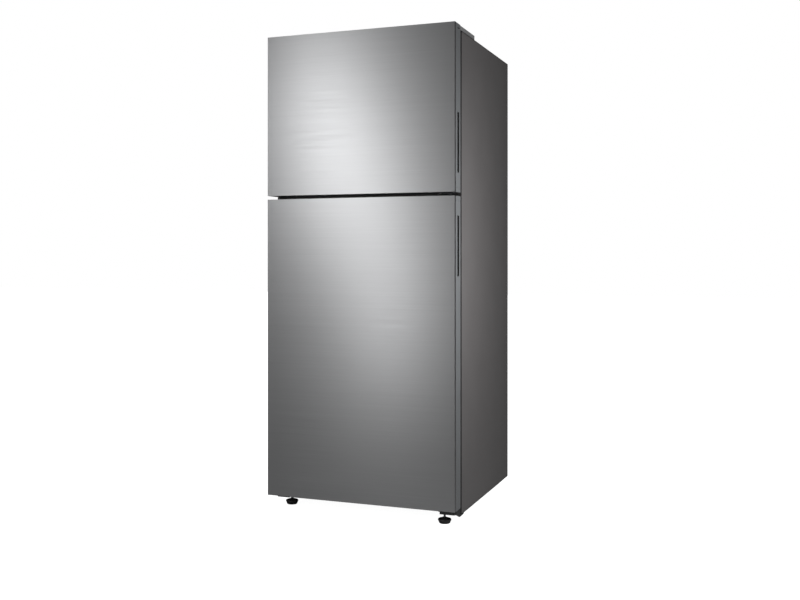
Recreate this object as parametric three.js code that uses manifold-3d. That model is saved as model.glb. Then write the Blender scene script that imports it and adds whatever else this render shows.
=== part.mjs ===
// Top freezer refrigerator, built as an assembly of separate closed solids.
// Millimetres. +Z is up, the doors face -Y, and the origin is on the floor under the middle of the object.
import * as THREE from "three";
import { mergeVertices } from "three/addons/utils/BufferGeometryUtils.js";
import Module from "manifold-3d";

const wasm = await Module();
wasm.setup();

// ---------------------------------------------------------------- driving dimensions

// Overall
const WIDTH = 701.7;
const DEPTH = 743;
const DOOR_BOTTOM = 49.5;
const FRIDGE_DOOR_HEIGHT = 1063.5;
const DOOR_SPLIT = 13;
const FREEZER_DOOR_HEIGHT = 571;
const HINGE_COVER_RISE = 1.6;
const HINGE_COVER_HEIGHT = 18;
const CABINET_BOTTOM = 26;

// Clearance between pieces that touch, and running clearance round a turning or sliding piece
const TOUCH = 0.3;
const RUN = 0.5;

// Doors
const DOOR_THICKNESS = 70;
const DOOR_GAP = 10;
const SKIN = 1;
const SKIN_RETURN = 3.5;
const SHADOW_GROOVE = 2.5;
const TRIM_WALL = 3;
const TRIM_LEDGE = 16;
const DOOR_REAR_CHAMFER = 5;
const CAP_HEIGHT = 14;
const HINGE_CAP_HEIGHT = 34;
const HINGE_POCKET_LENGTH = 110;
const CAP_WALL = 3;
const PLUG_PROUD = 3;
const DOOR_LINER_WALL = 2;
const DIKE_HEIGHT = 45;
const DIKE_WIDTH = 26;
const DIKE_INSET = 24;
const PAN_DEPTH = 10;
const GASKET_WIDTH = 18;
const GASKET_SIDE_INSET = 27;
const GASKET_SPLIT_INSET = 10;
const GASKET_END_INSET = 26;

// Recessed grips in the sides of the doors
const GRIP_LENGTH = 206;
const GRIP_SLOT = 20;
const GRIP_FROM_FRONT = 28;
const GRIP_FROM_SPLIT = 66;
const GRIP_POCKET = 27;
const GRIP_UNDERCUT = 4;
const GRIP_WALL = 2.5;

// Hinges
const PIN_RADIUS = 5;
const PIN_FROM_SIDE = 24;
const PIN_FROM_FRONT = 38.5;
const PIN_LENGTH = 13;
const HINGE_PLATE = 4;
const HINGE_LEAF = 3;
const LEAF_INSET = 20;
const BRACKET_FOLD = 12;
const BRACKET_TOE = 44;
const BRACKET_TOE_DROP = 8;
const HINGE_REACH = 85;
const ARM_HALF_WIDTH = 11;
const ARM_INWARD = 49;
const ARM_ONTO_CABINET = 8;
const DOOR_OPENING = (120 * Math.PI) / 180;
const COVER_LENGTH = 184;
const COVER_WIDTH = 84;
const COVER_INSET = 4;
const COVER_WALL = 2.5;

// Cabinet
const SHEET = 1;
const SIDE_WALL = 52;
const FREEZER_EXTRA_WALL = 10;
const BACK_WALL = 71;
const TOP_WALL = 56;
const LINER = 2;
const REAR_FLANGE = 15;
const FRIDGE_FLOOR = 105;
const SPLIT_SEAL = 33;
const BASE_LIFT = 34;
const FOOT_CHANNEL = 55;

// Machine compartment
const MACHINE_DEPTH = 188;
const MACHINE_TOP = 262;
const MACHINE_SLOPE = 55;
const HUMP_WALL = 55;
const HUMP_SLOPE = 48;
const DECK_Z = 44;
const COMPRESSOR_FROM_SIDE = 176;
const COMPRESSOR_PLATE = 88;
const PAN_GAP = 122;
const CORD_HOLE = 5;
const DECK = 2;

// Feet and rollers
const FOOT_PAD_RADIUS = 23;
const FOOT_PAD_HEIGHT = 16;
const STUD_RADIUS = 4;
const STUD_TOP = 48;
const FOOT_FROM_SIDE = 50;
const ROLLER_RADIUS = 18;
const ROLLER_WIDTH = 20;
const ROLLER_AXLE = 4;
const ROLLER_FROM_BACK = 48;
const ROLLER_FROM_SIDE = 62;

// Shelves, drawers and bins
const GLASS = 4;
const SHELF_SIDE_GAP = 1.5;
const SHELF_TRIM = 14;
const SHELF_LEDGE = 9;
const SHELF_CLEAR_OF_DOOR = 126;
const CRISPER_ABOVE_HUMP = 14;
const MIDDLE_SHELF = 445;
const UPPER_SHELF = 690;
const CRISPER_WALL = 2.5;
const CRISPER_FRONT = 5;
const CRISPER_SIDE_GAP = 15;
const CRISPER_MIDDLE_GAP = 12;
const CRISPER_BELOW_COVER = 26;
const FREEZER_SHELF_BELOW_TOP = 240;
const BIN_WALL = 2.5;
const BIN_RIM = 5;
const BIN_HEIGHT = 92;
const BIN_NUB = 6;
const LOWER_BIN = 102;
const MIDDLE_BIN = 420;
const UPPER_BIN = 720;
const FREEZER_LOWER_BIN = 80;
const FREEZER_UPPER_BIN = 280;
const FRIDGE_BIN_DEPTH = 120;
const FREEZER_BIN_DEPTH = 110;
const FREEZER_BIN_CORNER = 8;
const FRIDGE_BIN_CORNER = 12;

// Air path and ice maker
const EVAPORATOR_SPACE = 75;
const COVER_PANEL = 3;
const FAN_RADIUS = 45;
const FAN_BELOW_TOP = 90;
const DUCT_WIDTH = 190;
const DUCT_DEPTH = 14;
const CONTROL_WIDTH = 260;
const CONTROL_DEPTH = 170;
const CONTROL_HEIGHT = 30;
const BUTTON_RADIUS = 7;
const BUTTON_PROUD = 2.5;
const ICE_WIDTH = 120;
const ICE_DEPTH = 250;
const ICE_HEIGHT = 165;
const ICE_WALL = 2.5;
const ICE_BIN_HEIGHT = 50;
const ICE_AXIS = 108;

// ---------------------------------------------------------------- places worked out from them

const side = WIDTH / 2;
const front = -DEPTH / 2;
const back = DEPTH / 2;
const doorBack = front + DOOR_THICKNESS;
const cabinetFront = doorBack + DOOR_GAP;
const fridgeDoorTop = DOOR_BOTTOM + FRIDGE_DOOR_HEIGHT;
const freezerDoorBottom = fridgeDoorTop + DOOR_SPLIT;
const freezerDoorTop = freezerDoorBottom + FREEZER_DOOR_HEIGHT;
const coverTop = freezerDoorTop + HINGE_COVER_RISE;
const cabinetTop = coverTop - HINGE_COVER_HEIGHT;
const fridgeHalf = side - SIDE_WALL;
const freezerHalf = fridgeHalf - FREEZER_EXTRA_WALL;
const fridgeTop = fridgeDoorTop - SPLIT_SEAL;
const freezerFloor = freezerDoorBottom + SPLIT_SEAL;
const freezerTop = cabinetTop - TOP_WALL;
const linerBack = back - BACK_WALL;
const flangeEnd = fridgeHalf + LINER + TOUCH;
const innerSide = side - SHEET - TOUCH;
const rearSheet = back - SHEET - TOUCH;
const nicheFront = back - MACHINE_DEPTH;
const pinX = side - PIN_FROM_SIDE;
const pinY = front + PIN_FROM_FRONT;
const armRun = cabinetFront + ARM_ONTO_CABINET - pinY;
const armDirection = Math.atan2(armRun, -ARM_INWARD);
const shelfFront = doorBack + SHELF_CLEAR_OF_DOOR + DOOR_GAP;
const ductFront = linerBack - DUCT_DEPTH;
const evaporatorFront = linerBack - EVAPORATOR_SPACE;
const humpTop = MACHINE_TOP + HUMP_WALL;
const humpFoot = nicheFront - HUMP_WALL;
const humpHead = humpFoot + HUMP_SLOPE;
const crisperShelf = humpTop + CRISPER_ABOVE_HUMP;
const middleShelf = FRIDGE_FLOOR + MIDDLE_SHELF;
const upperShelf = FRIDGE_FLOOR + UPPER_SHELF;
const freezerShelf = freezerTop - FREEZER_SHELF_BELOW_TOP;

// ---------------------------------------------------------------- materials

function finish(color, roughness, metalness) {
  return new THREE.MeshStandardMaterial({ color, roughness, metalness });
}

const steelFront = finish(0xa9aaad, 0.35, 0.9);
const trimGrey = finish(0x6f7173, 0.5, 0.2);
const cabinetGrey = finish(0x5c5a5b, 0.5, 0.3);
const galvanised = finish(0xa7abae, 0.5, 0.8);
const blackSteel = finish(0x1d1d1e, 0.5, 0.6);
const blackPlastic = finish(0x222223, 0.6, 0);
const whitePlastic = finish(0xf1f2f3, 0.4, 0);
const greyRubber = finish(0x8f9193, 0.7, 0);
const foam = finish(0xe3d9b0, 0.95, 0);
const glass = finish(0xcfe0dc, 0.08, 0);
const clearPlastic = finish(0xdfe7ea, 0.15, 0);
const aluminium = finish(0xc9cccf, 0.4, 0.9);
const copper = finish(0xb87348, 0.4, 0.9);

// ---------------------------------------------------------------- solids and meshes

// A closed three.js geometry as a solid for cutting and joining.
function solid(geometry) {
  const bare = geometry.index ? geometry.toNonIndexed() : geometry.clone();
  for (const name of Object.keys(bare.attributes)) {
    if (name !== "position") bare.deleteAttribute(name);
  }
  const merged = mergeVertices(bare, 1e-4);
  return new wasm.Manifold(
    new wasm.Mesh({
      numProp: 3,
      vertProperties: merged.attributes.position.array,
      triVerts: new Uint32Array(merged.index.array),
    }),
  );
}

function geometryOf(made) {
  const mesh = made.getMesh();
  const geometry = new THREE.BufferGeometry();
  geometry.setAttribute("position", new THREE.BufferAttribute(mesh.vertProperties, 3));
  geometry.setIndex(new THREE.BufferAttribute(mesh.triVerts, 1));
  return geometry.toNonIndexed();
}

function join(...pieces) {
  return pieces.reduce((whole, piece) => whole.add(piece));
}

// A box given by its two limits along each axis.
function block(x0, x1, y0, y1, z0, z1) {
  const box = new THREE.BoxGeometry(x1 - x0, y1 - y0, z1 - z0);
  return solid(box.translate((x0 + x1) / 2, (y0 + y1) / 2, (z0 + z1) / 2));
}

function outline(points) {
  const shape = new THREE.Shape();
  points.forEach(([u, v], i) => (i ? shape.lineTo(u, v) : shape.moveTo(u, v)));
  return shape;
}

// A flat outline in X and Y, raised from z0 to z1.
function upright(shape, z0, z1, curveSegments = 6) {
  const made = new THREE.ExtrudeGeometry(shape, { depth: z1 - z0, bevelEnabled: false, curveSegments });
  return solid(made.translate(0, 0, z0));
}

// An outline of (y, z) points, drawn out along X from x0 to x1.
function crosswise(points, x0, x1) {
  const made = new THREE.ExtrudeGeometry(outline(points), { depth: x1 - x0, bevelEnabled: false });
  made.rotateX(Math.PI / 2).rotateZ(Math.PI / 2);
  return solid(made.translate(x0, 0, 0));
}

// A rectangle with round corners, for plates, pads and housings.
function roundedRectangle(x0, x1, y0, y1, r) {
  const shape = new THREE.Shape();
  shape.moveTo(x0 + r, y0).lineTo(x1 - r, y0).absarc(x1 - r, y0 + r, r, -Math.PI / 2, 0);
  shape.lineTo(x1, y1 - r).absarc(x1 - r, y1 - r, r, 0, Math.PI / 2);
  shape.lineTo(x0 + r, y1).absarc(x0 + r, y1 - r, r, Math.PI / 2, Math.PI);
  shape.lineTo(x0, y0 + r).absarc(x0 + r, y0 + r, r, Math.PI, 1.5 * Math.PI);
  return shape;
}

function rodZ(x, y, radius, z0, z1, sides = 20) {
  const made = new THREE.CylinderGeometry(radius, radius, z1 - z0, sides).rotateX(Math.PI / 2);
  return solid(made.translate(x, y, (z0 + z1) / 2));
}

function rodY(x, z, radius, y0, y1, sides = 20) {
  const made = new THREE.CylinderGeometry(radius, radius, y1 - y0, sides);
  return solid(made.translate(x, (y0 + y1) / 2, z));
}

function rodX(y, z, radius, x0, x1, sides = 20) {
  const made = new THREE.CylinderGeometry(radius, radius, x1 - x0, sides).rotateZ(Math.PI / 2);
  return solid(made.translate((x0 + x1) / 2, y, z));
}

// A profile of (radius, height) points turned about the Z axis.
function turned(points, sides = 24) {
  const profile = points.map(([r, z]) => new THREE.Vector2(r, z));
  return solid(new THREE.LatheGeometry(profile, sides).rotateX(Math.PI / 2));
}

// A round tube along a smooth curve through the points.
function tube(points, radius, steps, sides = 8) {
  const path = new THREE.CatmullRomCurve3(points, false, "centripetal");
  const section = new THREE.Shape().absarc(0, 0, radius, 0, 2 * Math.PI);
  const ring = new THREE.Shape(section.getPoints(sides / 2).slice(0, -1));
  return solid(new THREE.ExtrudeGeometry(ring, { steps, bevelEnabled: false, extrudePath: path }));
}

// An open box: its outside less a hollow that leaves the walls and the floor.
function tray(x0, x1, y0, y1, z0, z1, wall, corner, frontWall = wall) {
  const outside = upright(roundedRectangle(x0, x1, y0, y1, corner), z0, z1, 3);
  const inner = Math.max(corner - wall, 1);
  const hollow = roundedRectangle(x0 + wall, x1 - wall, y0 + frontWall, y1 - wall, inner);
  return outside.subtract(upright(hollow, z0 + wall, z1 + 1, 3));
}

function mirrored(piece) {
  return piece.mirror([1, 0, 0]);
}

const refrigerator = new THREE.Group();

function add(group, name, made, material, at = [0, 0, 0]) {
  const mesh = new THREE.Mesh(geometryOf(made), material);
  mesh.name = name;
  mesh.position.set(...at);
  group.add(mesh);
}

// ---------------------------------------------------------------- cabinet shell

// A bent sheet: the side, a wide front flange that the door gasket seals on, and a narrow rear flange.
function sidePanel() {
  return upright(
    outline([
      [flangeEnd, cabinetFront],
      [side, cabinetFront],
      [side, back],
      [side - REAR_FLANGE, back],
      [side - REAR_FLANGE, back - SHEET],
      [side - SHEET, back - SHEET],
      [side - SHEET, cabinetFront + SHEET],
      [flangeEnd, cabinetFront + SHEET],
    ]),
    CABINET_BOTTOM,
    cabinetTop,
  );
}

function topPanel() {
  const half = flangeEnd - TOUCH;
  const sheetFront = cabinetFront + SHEET + TOUCH;
  return join(
    block(-innerSide, innerSide, sheetFront, rearSheet, cabinetTop - SHEET, cabinetTop),
    block(-half, half, cabinetFront, sheetFront + 1, cabinetTop - SHEET, cabinetTop),
    block(-half, half, cabinetFront, cabinetFront + SHEET, freezerTop + LINER + TOUCH, cabinetTop),
  );
}

function backPanel() {
  return block(
    -innerSide,
    innerSide,
    rearSheet - SHEET,
    rearSheet,
    MACHINE_TOP + 2 * DECK,
    cabinetTop - SHEET - TOUCH,
  );
}

// The formed sheet under the cabinet: front web, channel for the foot, floor,
// and the wall over the machine space.
function basePanel() {
  const floor = CABINET_BOTTOM + BASE_LIFT;
  const half = flangeEnd - TOUCH;
  const channelBack = cabinetFront + FOOT_CHANNEL;
  const bottom = CABINET_BOTTOM + 2;
  const slopeY = nicheFront + MACHINE_SLOPE;
  const slopeZ = MACHINE_TOP - MACHINE_SLOPE;
  const ceiling = rearSheet - SHEET - TOUCH;
  const behindFlange = cabinetFront + SHEET + TOUCH;
  const web = block(-half, half, cabinetFront, cabinetFront + DECK, bottom, FRIDGE_FLOOR - LINER - TOUCH);
  const channel = crosswise(
    [
      [behindFlange, bottom],
      [channelBack, bottom],
      [channelBack, floor + 1],
      [channelBack - DECK, floor + 1],
      [channelBack - DECK, bottom + DECK],
      [behindFlange, bottom + DECK],
    ],
    -innerSide,
    innerSide,
  );
  const formed = crosswise(
    [
      [channelBack - DECK, floor],
      [nicheFront, floor],
      [nicheFront, slopeZ],
      [slopeY, MACHINE_TOP],
      [ceiling, MACHINE_TOP],
      [ceiling, MACHINE_TOP + DECK],
      [slopeY - 1, MACHINE_TOP + DECK],
      [nicheFront - DECK, slopeZ + 1],
      [nicheFront - DECK, floor + DECK],
      [channelBack - DECK, floor + DECK],
    ],
    -innerSide,
    innerSide,
  );
  const studHole = rodZ(-(side - FOOT_FROM_SIDE), footLeftY, STUD_RADIUS + RUN, 0, floor);
  return join(web, channel, formed).subtract(studHole);
}

// The steel strip across the front between the two compartments.
function centerRail() {
  const half = flangeEnd - TOUCH;
  const low = fridgeTop + LINER + TOUCH;
  const high = freezerFloor - LINER - TOUCH;
  return join(
    block(-half, half, cabinetFront, cabinetFront + SHEET, low, high),
    block(-half, half, cabinetFront, cabinetFront + 12, low, low + SHEET),
    block(-half, half, cabinetFront, cabinetFront + 12, high - SHEET, high),
  );
}

// Side view of the fresh food compartment, as (y, z) points, grown by a wall.
function fridgeProfile(grow) {
  return [
    [cabinetFront, FRIDGE_FLOOR - grow],
    [humpFoot + grow / 2, FRIDGE_FLOOR - grow],
    [humpHead + grow, humpTop - grow],
    [linerBack + grow, humpTop - grow],
    [linerBack + grow, fridgeTop + grow],
    [cabinetFront, fridgeTop + grow],
  ];
}

// A pair of ledges on the side walls that carry a shelf whose underside is at z.
function ledges(half, from, to, z) {
  const right = block(half - SHELF_LEDGE, half + LINER / 2, from, to, z - 8 - TOUCH, z - TOUCH);
  return right.add(mirrored(right));
}

function fridgeLiner() {
  const shell = crosswise(fridgeProfile(LINER), -fridgeHalf - LINER, fridgeHalf + LINER);
  const hollow = crosswise(fridgeProfile(0), -fridgeHalf, fridgeHalf).add(
    block(-fridgeHalf, fridgeHalf, cabinetFront - 1, cabinetFront + 5, FRIDGE_FLOOR, fridgeTop),
  );
  const shelves = [crisperShelf, middleShelf, upperShelf].map((z) =>
    ledges(fridgeHalf, shelfFront + 25, ductFront, z),
  );
  return join(shell.subtract(hollow), ...shelves);
}

function freezerLiner() {
  const half = freezerHalf;
  const lip = flangeEnd - TOUCH;
  const shell = block(
    -half - LINER,
    half + LINER,
    cabinetFront,
    linerBack + LINER,
    freezerFloor - LINER,
    freezerTop + LINER,
  );
  const lipLow = freezerFloor - LINER;
  const lipHigh = freezerTop + LINER;
  const frontLip = block(-lip, lip, cabinetFront, cabinetFront + LINER, lipLow, lipHigh);
  const hollow = block(-half, half, cabinetFront - 1, linerBack, freezerFloor, freezerTop);
  const shelf = ledges(half, shelfFront + 5, evaporatorFront - RUN, freezerShelf);
  return shell.add(frontLip).subtract(hollow).add(shelf);
}

// Foam that fills the space between the sheets and the liners.
function cabinetInsulation() {
  const gap = LINER + TOUCH;
  const foamFront = cabinetFront + DECK + TOUCH;
  const foamBack = rearSheet - SHEET - TOUCH;
  const floor = CABINET_BOTTOM + BASE_LIFT + DECK + TOUCH;
  const slopeZ = MACHINE_TOP - MACHINE_SLOPE;
  const niche = crosswise(
    [
      [nicheFront - DECK - TOUCH, 0],
      [back + 1, 0],
      [back + 1, MACHINE_TOP + DECK + TOUCH],
      [nicheFront + MACHINE_SLOPE - 2, MACHINE_TOP + DECK + TOUCH],
      [nicheFront - DECK - TOUCH, slopeZ + 2],
    ],
    -side,
    side,
  );
  const channel = cabinetFront + FOOT_CHANNEL + TOUCH;
  return block(-innerSide, innerSide, foamFront, foamBack, floor, cabinetTop - SHEET - TOUCH)
    .subtract(niche)
    .subtract(crosswise(fridgeProfile(gap), -fridgeHalf - gap, fridgeHalf + gap))
    .subtract(
      block(
        -freezerHalf - gap,
        freezerHalf + gap,
        cabinetFront - 1,
        linerBack + gap,
        freezerFloor - gap,
        freezerTop + gap,
      ),
    )
    .subtract(block(-side, side, cabinetFront - 1, cabinetFront + 12 + TOUCH, fridgeTop, freezerFloor))
    .subtract(block(-side, side, cabinetFront - 1, channel, 0, floor + 2));
}

// ---------------------------------------------------------------- machine compartment

const footLeftY = cabinetFront + 20;
const footRightY = cabinetFront - 36;
const rollerY = back - ROLLER_FROM_BACK;

function machineDeck() {
  const deckBack = rearSheet - SHEET - 2 * TOUCH - DECK;
  const deckFront = nicheFront + TOUCH;
  const plate = block(-innerSide + 1, innerSide - 1, deckFront, deckBack, DECK_Z, DECK_Z + DECK);
  const lip = block(innerSide - DECK, innerSide, deckFront, deckBack, DECK_Z, DECK_Z + 20);
  const ears = [];
  for (const s of [-1, 1]) {
    const centre = s * (side - ROLLER_FROM_SIDE);
    const inside = ROLLER_WIDTH / 2 + 1.5;
    for (const e of [-1, 1]) {
      const x = centre + e * (inside + DECK / 2);
      const low = ROLLER_RADIUS - 9;
      ears.push(block(x - DECK / 2, x + DECK / 2, rollerY - 11, rollerY + 11, low, DECK_Z + 1));
    }
    const reach = inside + DECK / 2;
    ears.push(rodX(rollerY, ROLLER_RADIUS, ROLLER_AXLE, centre - reach, centre + reach, 14));
  }
  return join(plate, lip, mirrored(lip), ...ears);
}

// Hermetic pot with a domed lid, its base plate on four rubber mounts, and the terminal box.
function compressor(x, y) {
  const seat = DECK_Z + DECK + TOUCH;
  const pot = turned(
    [
      [0, 0],
      [46, 0],
      [60, 12],
      [64, 34],
      [64, 92],
      [68, 94],
      [68, 100],
      [63, 102],
      [58, 128],
      [40, 146],
      [0, 152],
    ],
    20,
  ).translate([0, 0, seat + 22]);
  const footprint = roundedRectangle(-COMPRESSOR_PLATE, COMPRESSOR_PLATE, -56, 56, 14);
  const plate = upright(footprint, seat + 16, seat + 24, 2);
  const mounts = [-1, 1].flatMap((i) =>
    [-1, 1].map((j) => rodZ(i * (COMPRESSOR_PLATE - 12), j * 42, 11, seat, seat + 18, 10)),
  );
  const terminals = block(-24, 24, -78, -50, seat + 54, seat + 100);
  return join(pot, plate, terminals, ...mounts).translate([x, y, 0]);
}

// One long tube folded into level runs, held in two side combs.
function condenserCoil(x0, x1, y, z0) {
  const runs = 6;
  const pitch = 24;
  const bend = pitch / 2;
  const points = [];
  for (let i = 0; i < runs; i++) {
    const ends = i % 2 ? [x1, x0] : [x0, x1];
    const z = z0 + i * pitch;
    const inward = Math.sign(ends[1] - ends[0]);
    points.push(new THREE.Vector3(ends[0] + inward * bend, y, z));
    points.push(new THREE.Vector3(ends[1] - inward * bend, y, z));
    if (i < runs - 1) points.push(new THREE.Vector3(ends[1], y, z + bend));
  }
  const combs = [0.25, 0.75].map((share) => {
    const x = x0 + (x1 - x0) * share;
    return block(x - 1.5, x + 1.5, y - 9, y + 9, DECK_Z + DECK + TOUCH, z0 + runs * pitch - 8);
  });
  return join(tube(points, 3.2, 66, 6), ...combs);
}

// The plate over the machine space, with two banks of air slots.
function rearCover() {
  const low = DECK_Z + DECK + TOUCH;
  const high = MACHINE_TOP + DECK;
  const bushing = rodY(0, low + 16, CORD_HOLE + 4, rearSheet - 12, rearSheet, 16);
  let plate = block(-innerSide, innerSide, rearSheet - SHEET, rearSheet, low, high)
    .add(bushing)
    .subtract(rodY(0, low + 16, CORD_HOLE, rearSheet - 20, rearSheet + 5, 12));
  const slots = 9;
  for (let i = 0; i < slots; i++) {
    const z = low + 30 + i * 18;
    const right = block(50, innerSide - 45, back - 10, back + 10, z, z + 7);
    plate = plate.subtract(right).subtract(mirrored(right));
  }
  return plate;
}

function levellingFoot(top) {
  return turned(
    [
      [0, 0],
      [FOOT_PAD_RADIUS - 5, 0],
      [FOOT_PAD_RADIUS - 3, 1.5],
      [FOOT_PAD_RADIUS, FOOT_PAD_HEIGHT - 5],
      [FOOT_PAD_RADIUS - 2.5, FOOT_PAD_HEIGHT],
      [9, FOOT_PAD_HEIGHT],
      [9, FOOT_PAD_HEIGHT + 5],
      [STUD_RADIUS, FOOT_PAD_HEIGHT + 5],
      [STUD_RADIUS, top],
      [0, top],
    ],
    24,
  );
}

function roller() {
  const half = ROLLER_WIDTH / 2;
  const bore = rodX(0, 0, ROLLER_AXLE + TOUCH, -half - 1, half + 1, 14);
  return rodX(0, 0, ROLLER_RADIUS, -half, half, 28).subtract(bore);
}

// ---------------------------------------------------------------- hinges

const coverLeft = side - COVER_INSET - COVER_WIDTH;

// Flat steel arm on the cabinet top that runs forward into the slot of the door cap and holds the pin.
function topHinge() {
  const low = cabinetTop + TOUCH;
  const high = low + HINGE_PLATE;
  const arm = block(0, Math.hypot(ARM_INWARD, armRun), -ARM_HALF_WIDTH, ARM_HALF_WIDTH, low, high)
    .rotate([0, 0, (armDirection * 180) / Math.PI])
    .translate([pinX, pinY, 0]);
  const plate = roundedRectangle(
    coverLeft + COVER_WALL + 2,
    side - COVER_INSET - COVER_WALL - 4,
    cabinetFront + 4,
    cabinetFront + COVER_LENGTH - 28,
    5,
  );
  return join(
    arm,
    upright(plate, low, high, 2),
    rodZ(pinX, pinY, ARM_HALF_WIDTH, low, high, 20),
    rodZ(pinX, pinY, PIN_RADIUS, low - PIN_LENGTH, high + 1, 16),
    rodZ(pinX, pinY, PIN_RADIUS + 3, high - 1, high + 3, 6),
  );
}

// Moulded cover over the hinge plate, open underneath, with a passage in its front wall for the arm.
function topHingeCover() {
  const cover = (shrink) =>
    roundedRectangle(
      coverLeft + shrink,
      side - COVER_INSET - shrink,
      cabinetFront + 1 + shrink,
      cabinetFront + COVER_LENGTH - shrink,
      8 - shrink,
    );
  const seat = cabinetTop + TOUCH;
  const armTop = seat + HINGE_PLATE + RUN;
  const passageLeft = coverLeft + COVER_WALL;
  const passage = block(passageLeft, pinX - 20, cabinetFront, cabinetFront + 9, seat - 1, armTop);
  return upright(cover(0), seat, coverTop, 4)
    .subtract(upright(cover(COVER_WALL), seat - 1, coverTop - COVER_WALL, 4))
    .subtract(passage);
}

// Outline of a hinge plate that comes forward from the cabinet front to a round nose about the pin.
function hingeTongue(nose) {
  const shape = new THREE.Shape();
  shape.moveTo(side - 4, cabinetFront - TOUCH);
  shape.lineTo(side - HINGE_REACH, cabinetFront - TOUCH);
  shape.lineTo(side - HINGE_REACH, cabinetFront - 14);
  shape.lineTo(pinX - nose, pinY - 2);
  shape.absarc(pinX, pinY, nose, Math.PI * 1.05, Math.PI * 2);
  shape.lineTo(side - 4, pinY + 8);
  return shape;
}

function middleHinge() {
  const centre = (fridgeDoorTop + freezerDoorBottom) / 2;
  const low = centre - HINGE_PLATE / 2;
  const high = centre + HINGE_PLATE / 2;
  const reach = DOOR_SPLIT / 2 + GASKET_SPLIT_INSET - 2;
  const leaf = block(
    side - HINGE_REACH,
    side - LEAF_INSET,
    cabinetFront - TOUCH - HINGE_LEAF,
    cabinetFront - TOUCH,
    centre - reach,
    centre + reach,
  );
  const pins = rodZ(pinX, pinY, PIN_RADIUS, low - PIN_LENGTH, high + PIN_LENGTH, 16);
  return join(upright(hingeTongue(13), low, high, 5), leaf, pins);
}

// The bottom bracket carries the lower pin and, further in, the foot on the hinge side.
function bottomHinge() {
  const high = DOOR_BOTTOM - 4.5;
  const low = high - HINGE_PLATE;
  const footX = side - FOOT_FROM_SIDE;
  const plateFront = Math.min(footRightY - 20, pinY - 14);
  const plate = new THREE.Shape();
  plate.moveTo(side - 4, cabinetFront - TOUCH);
  plate.lineTo(side - HINGE_REACH - 18, cabinetFront - TOUCH);
  plate.lineTo(side - HINGE_REACH - 18, cabinetFront - 12);
  plate.lineTo(footX - 22, footRightY - 14);
  plate.lineTo(footX - 12, plateFront);
  plate.lineTo(side - 12, plateFront);
  plate.lineTo(side - 4, plateFront + 8);
  const leaf = block(
    side - HINGE_REACH - 18,
    side - LEAF_INSET,
    cabinetFront - TOUCH - HINGE_LEAF,
    cabinetFront - TOUCH,
    CABINET_BOTTOM + 4,
    DOOR_BOTTOM + GASKET_END_INSET - 3,
  );
  const foldLow = high - BRACKET_FOLD;
  const toeBack = cabinetFront + BRACKET_TOE;
  const toeTop = CABINET_BOTTOM - TOUCH;
  const toeLow = CABINET_BOTTOM - BRACKET_TOE_DROP;
  const cheek = crosswise(
    [
      [plateFront + 8, high],
      [plateFront + 8, foldLow],
      [cabinetFront - 10, toeLow],
      [toeBack - 8, toeLow],
      [toeBack, toeTop - 2],
      [toeBack, toeTop],
      [cabinetFront - TOUCH, toeTop],
      [cabinetFront - TOUCH, high],
    ],
    side - 4 - HINGE_LEAF,
    side - 4,
  );
  const toeLeft = footX + FOOT_PAD_RADIUS + 2;
  const folds = join(
    cheek,
    block(toeLeft, side - 5, cabinetFront - 8, toeBack - 4, toeTop - HINGE_LEAF, toeTop),
    block(footX - 12, side - 12, plateFront, plateFront + HINGE_LEAF, foldLow, high),
  );
  const pin = rodZ(pinX, pinY, PIN_RADIUS, low, DOOR_BOTTOM + PIN_LENGTH - 4, 16);
  const studHole = rodZ(footX, footRightY, STUD_RADIUS + RUN, 0, DOOR_BOTTOM, 16);
  return join(upright(plate, low, high), leaf, folds, pin).subtract(studHole);
}

// ---------------------------------------------------------------- doors

// The space that the hinge arm passes through in the door cap, from shut to fully open.
function armSweep(y, z0, z1) {
  const h = ARM_HALF_WIDTH + 1;
  const far = 90;
  const last = armDirection - DOOR_OPENING;
  const middle = (armDirection + last) / 2;
  const at = (angle, r, turn) => [
    pinX + r * Math.cos(angle) + h * Math.cos(angle + turn),
    y + r * Math.sin(angle) + h * Math.sin(angle + turn),
  ];
  const quarter = Math.PI / 2;
  const shape = new THREE.Shape();
  shape.moveTo(...at(armDirection, 0, quarter));
  shape.lineTo(...at(armDirection, far, quarter));
  shape.lineTo(...at(middle, 2 * far, 0));
  shape.lineTo(...at(last, far, -quarter));
  shape.lineTo(...at(last, 0, -quarter));
  shape.absarc(pinX, y, h, last - quarter, armDirection - 3 * quarter, true);
  return upright(shape, z0, z1, 8);
}

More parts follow.
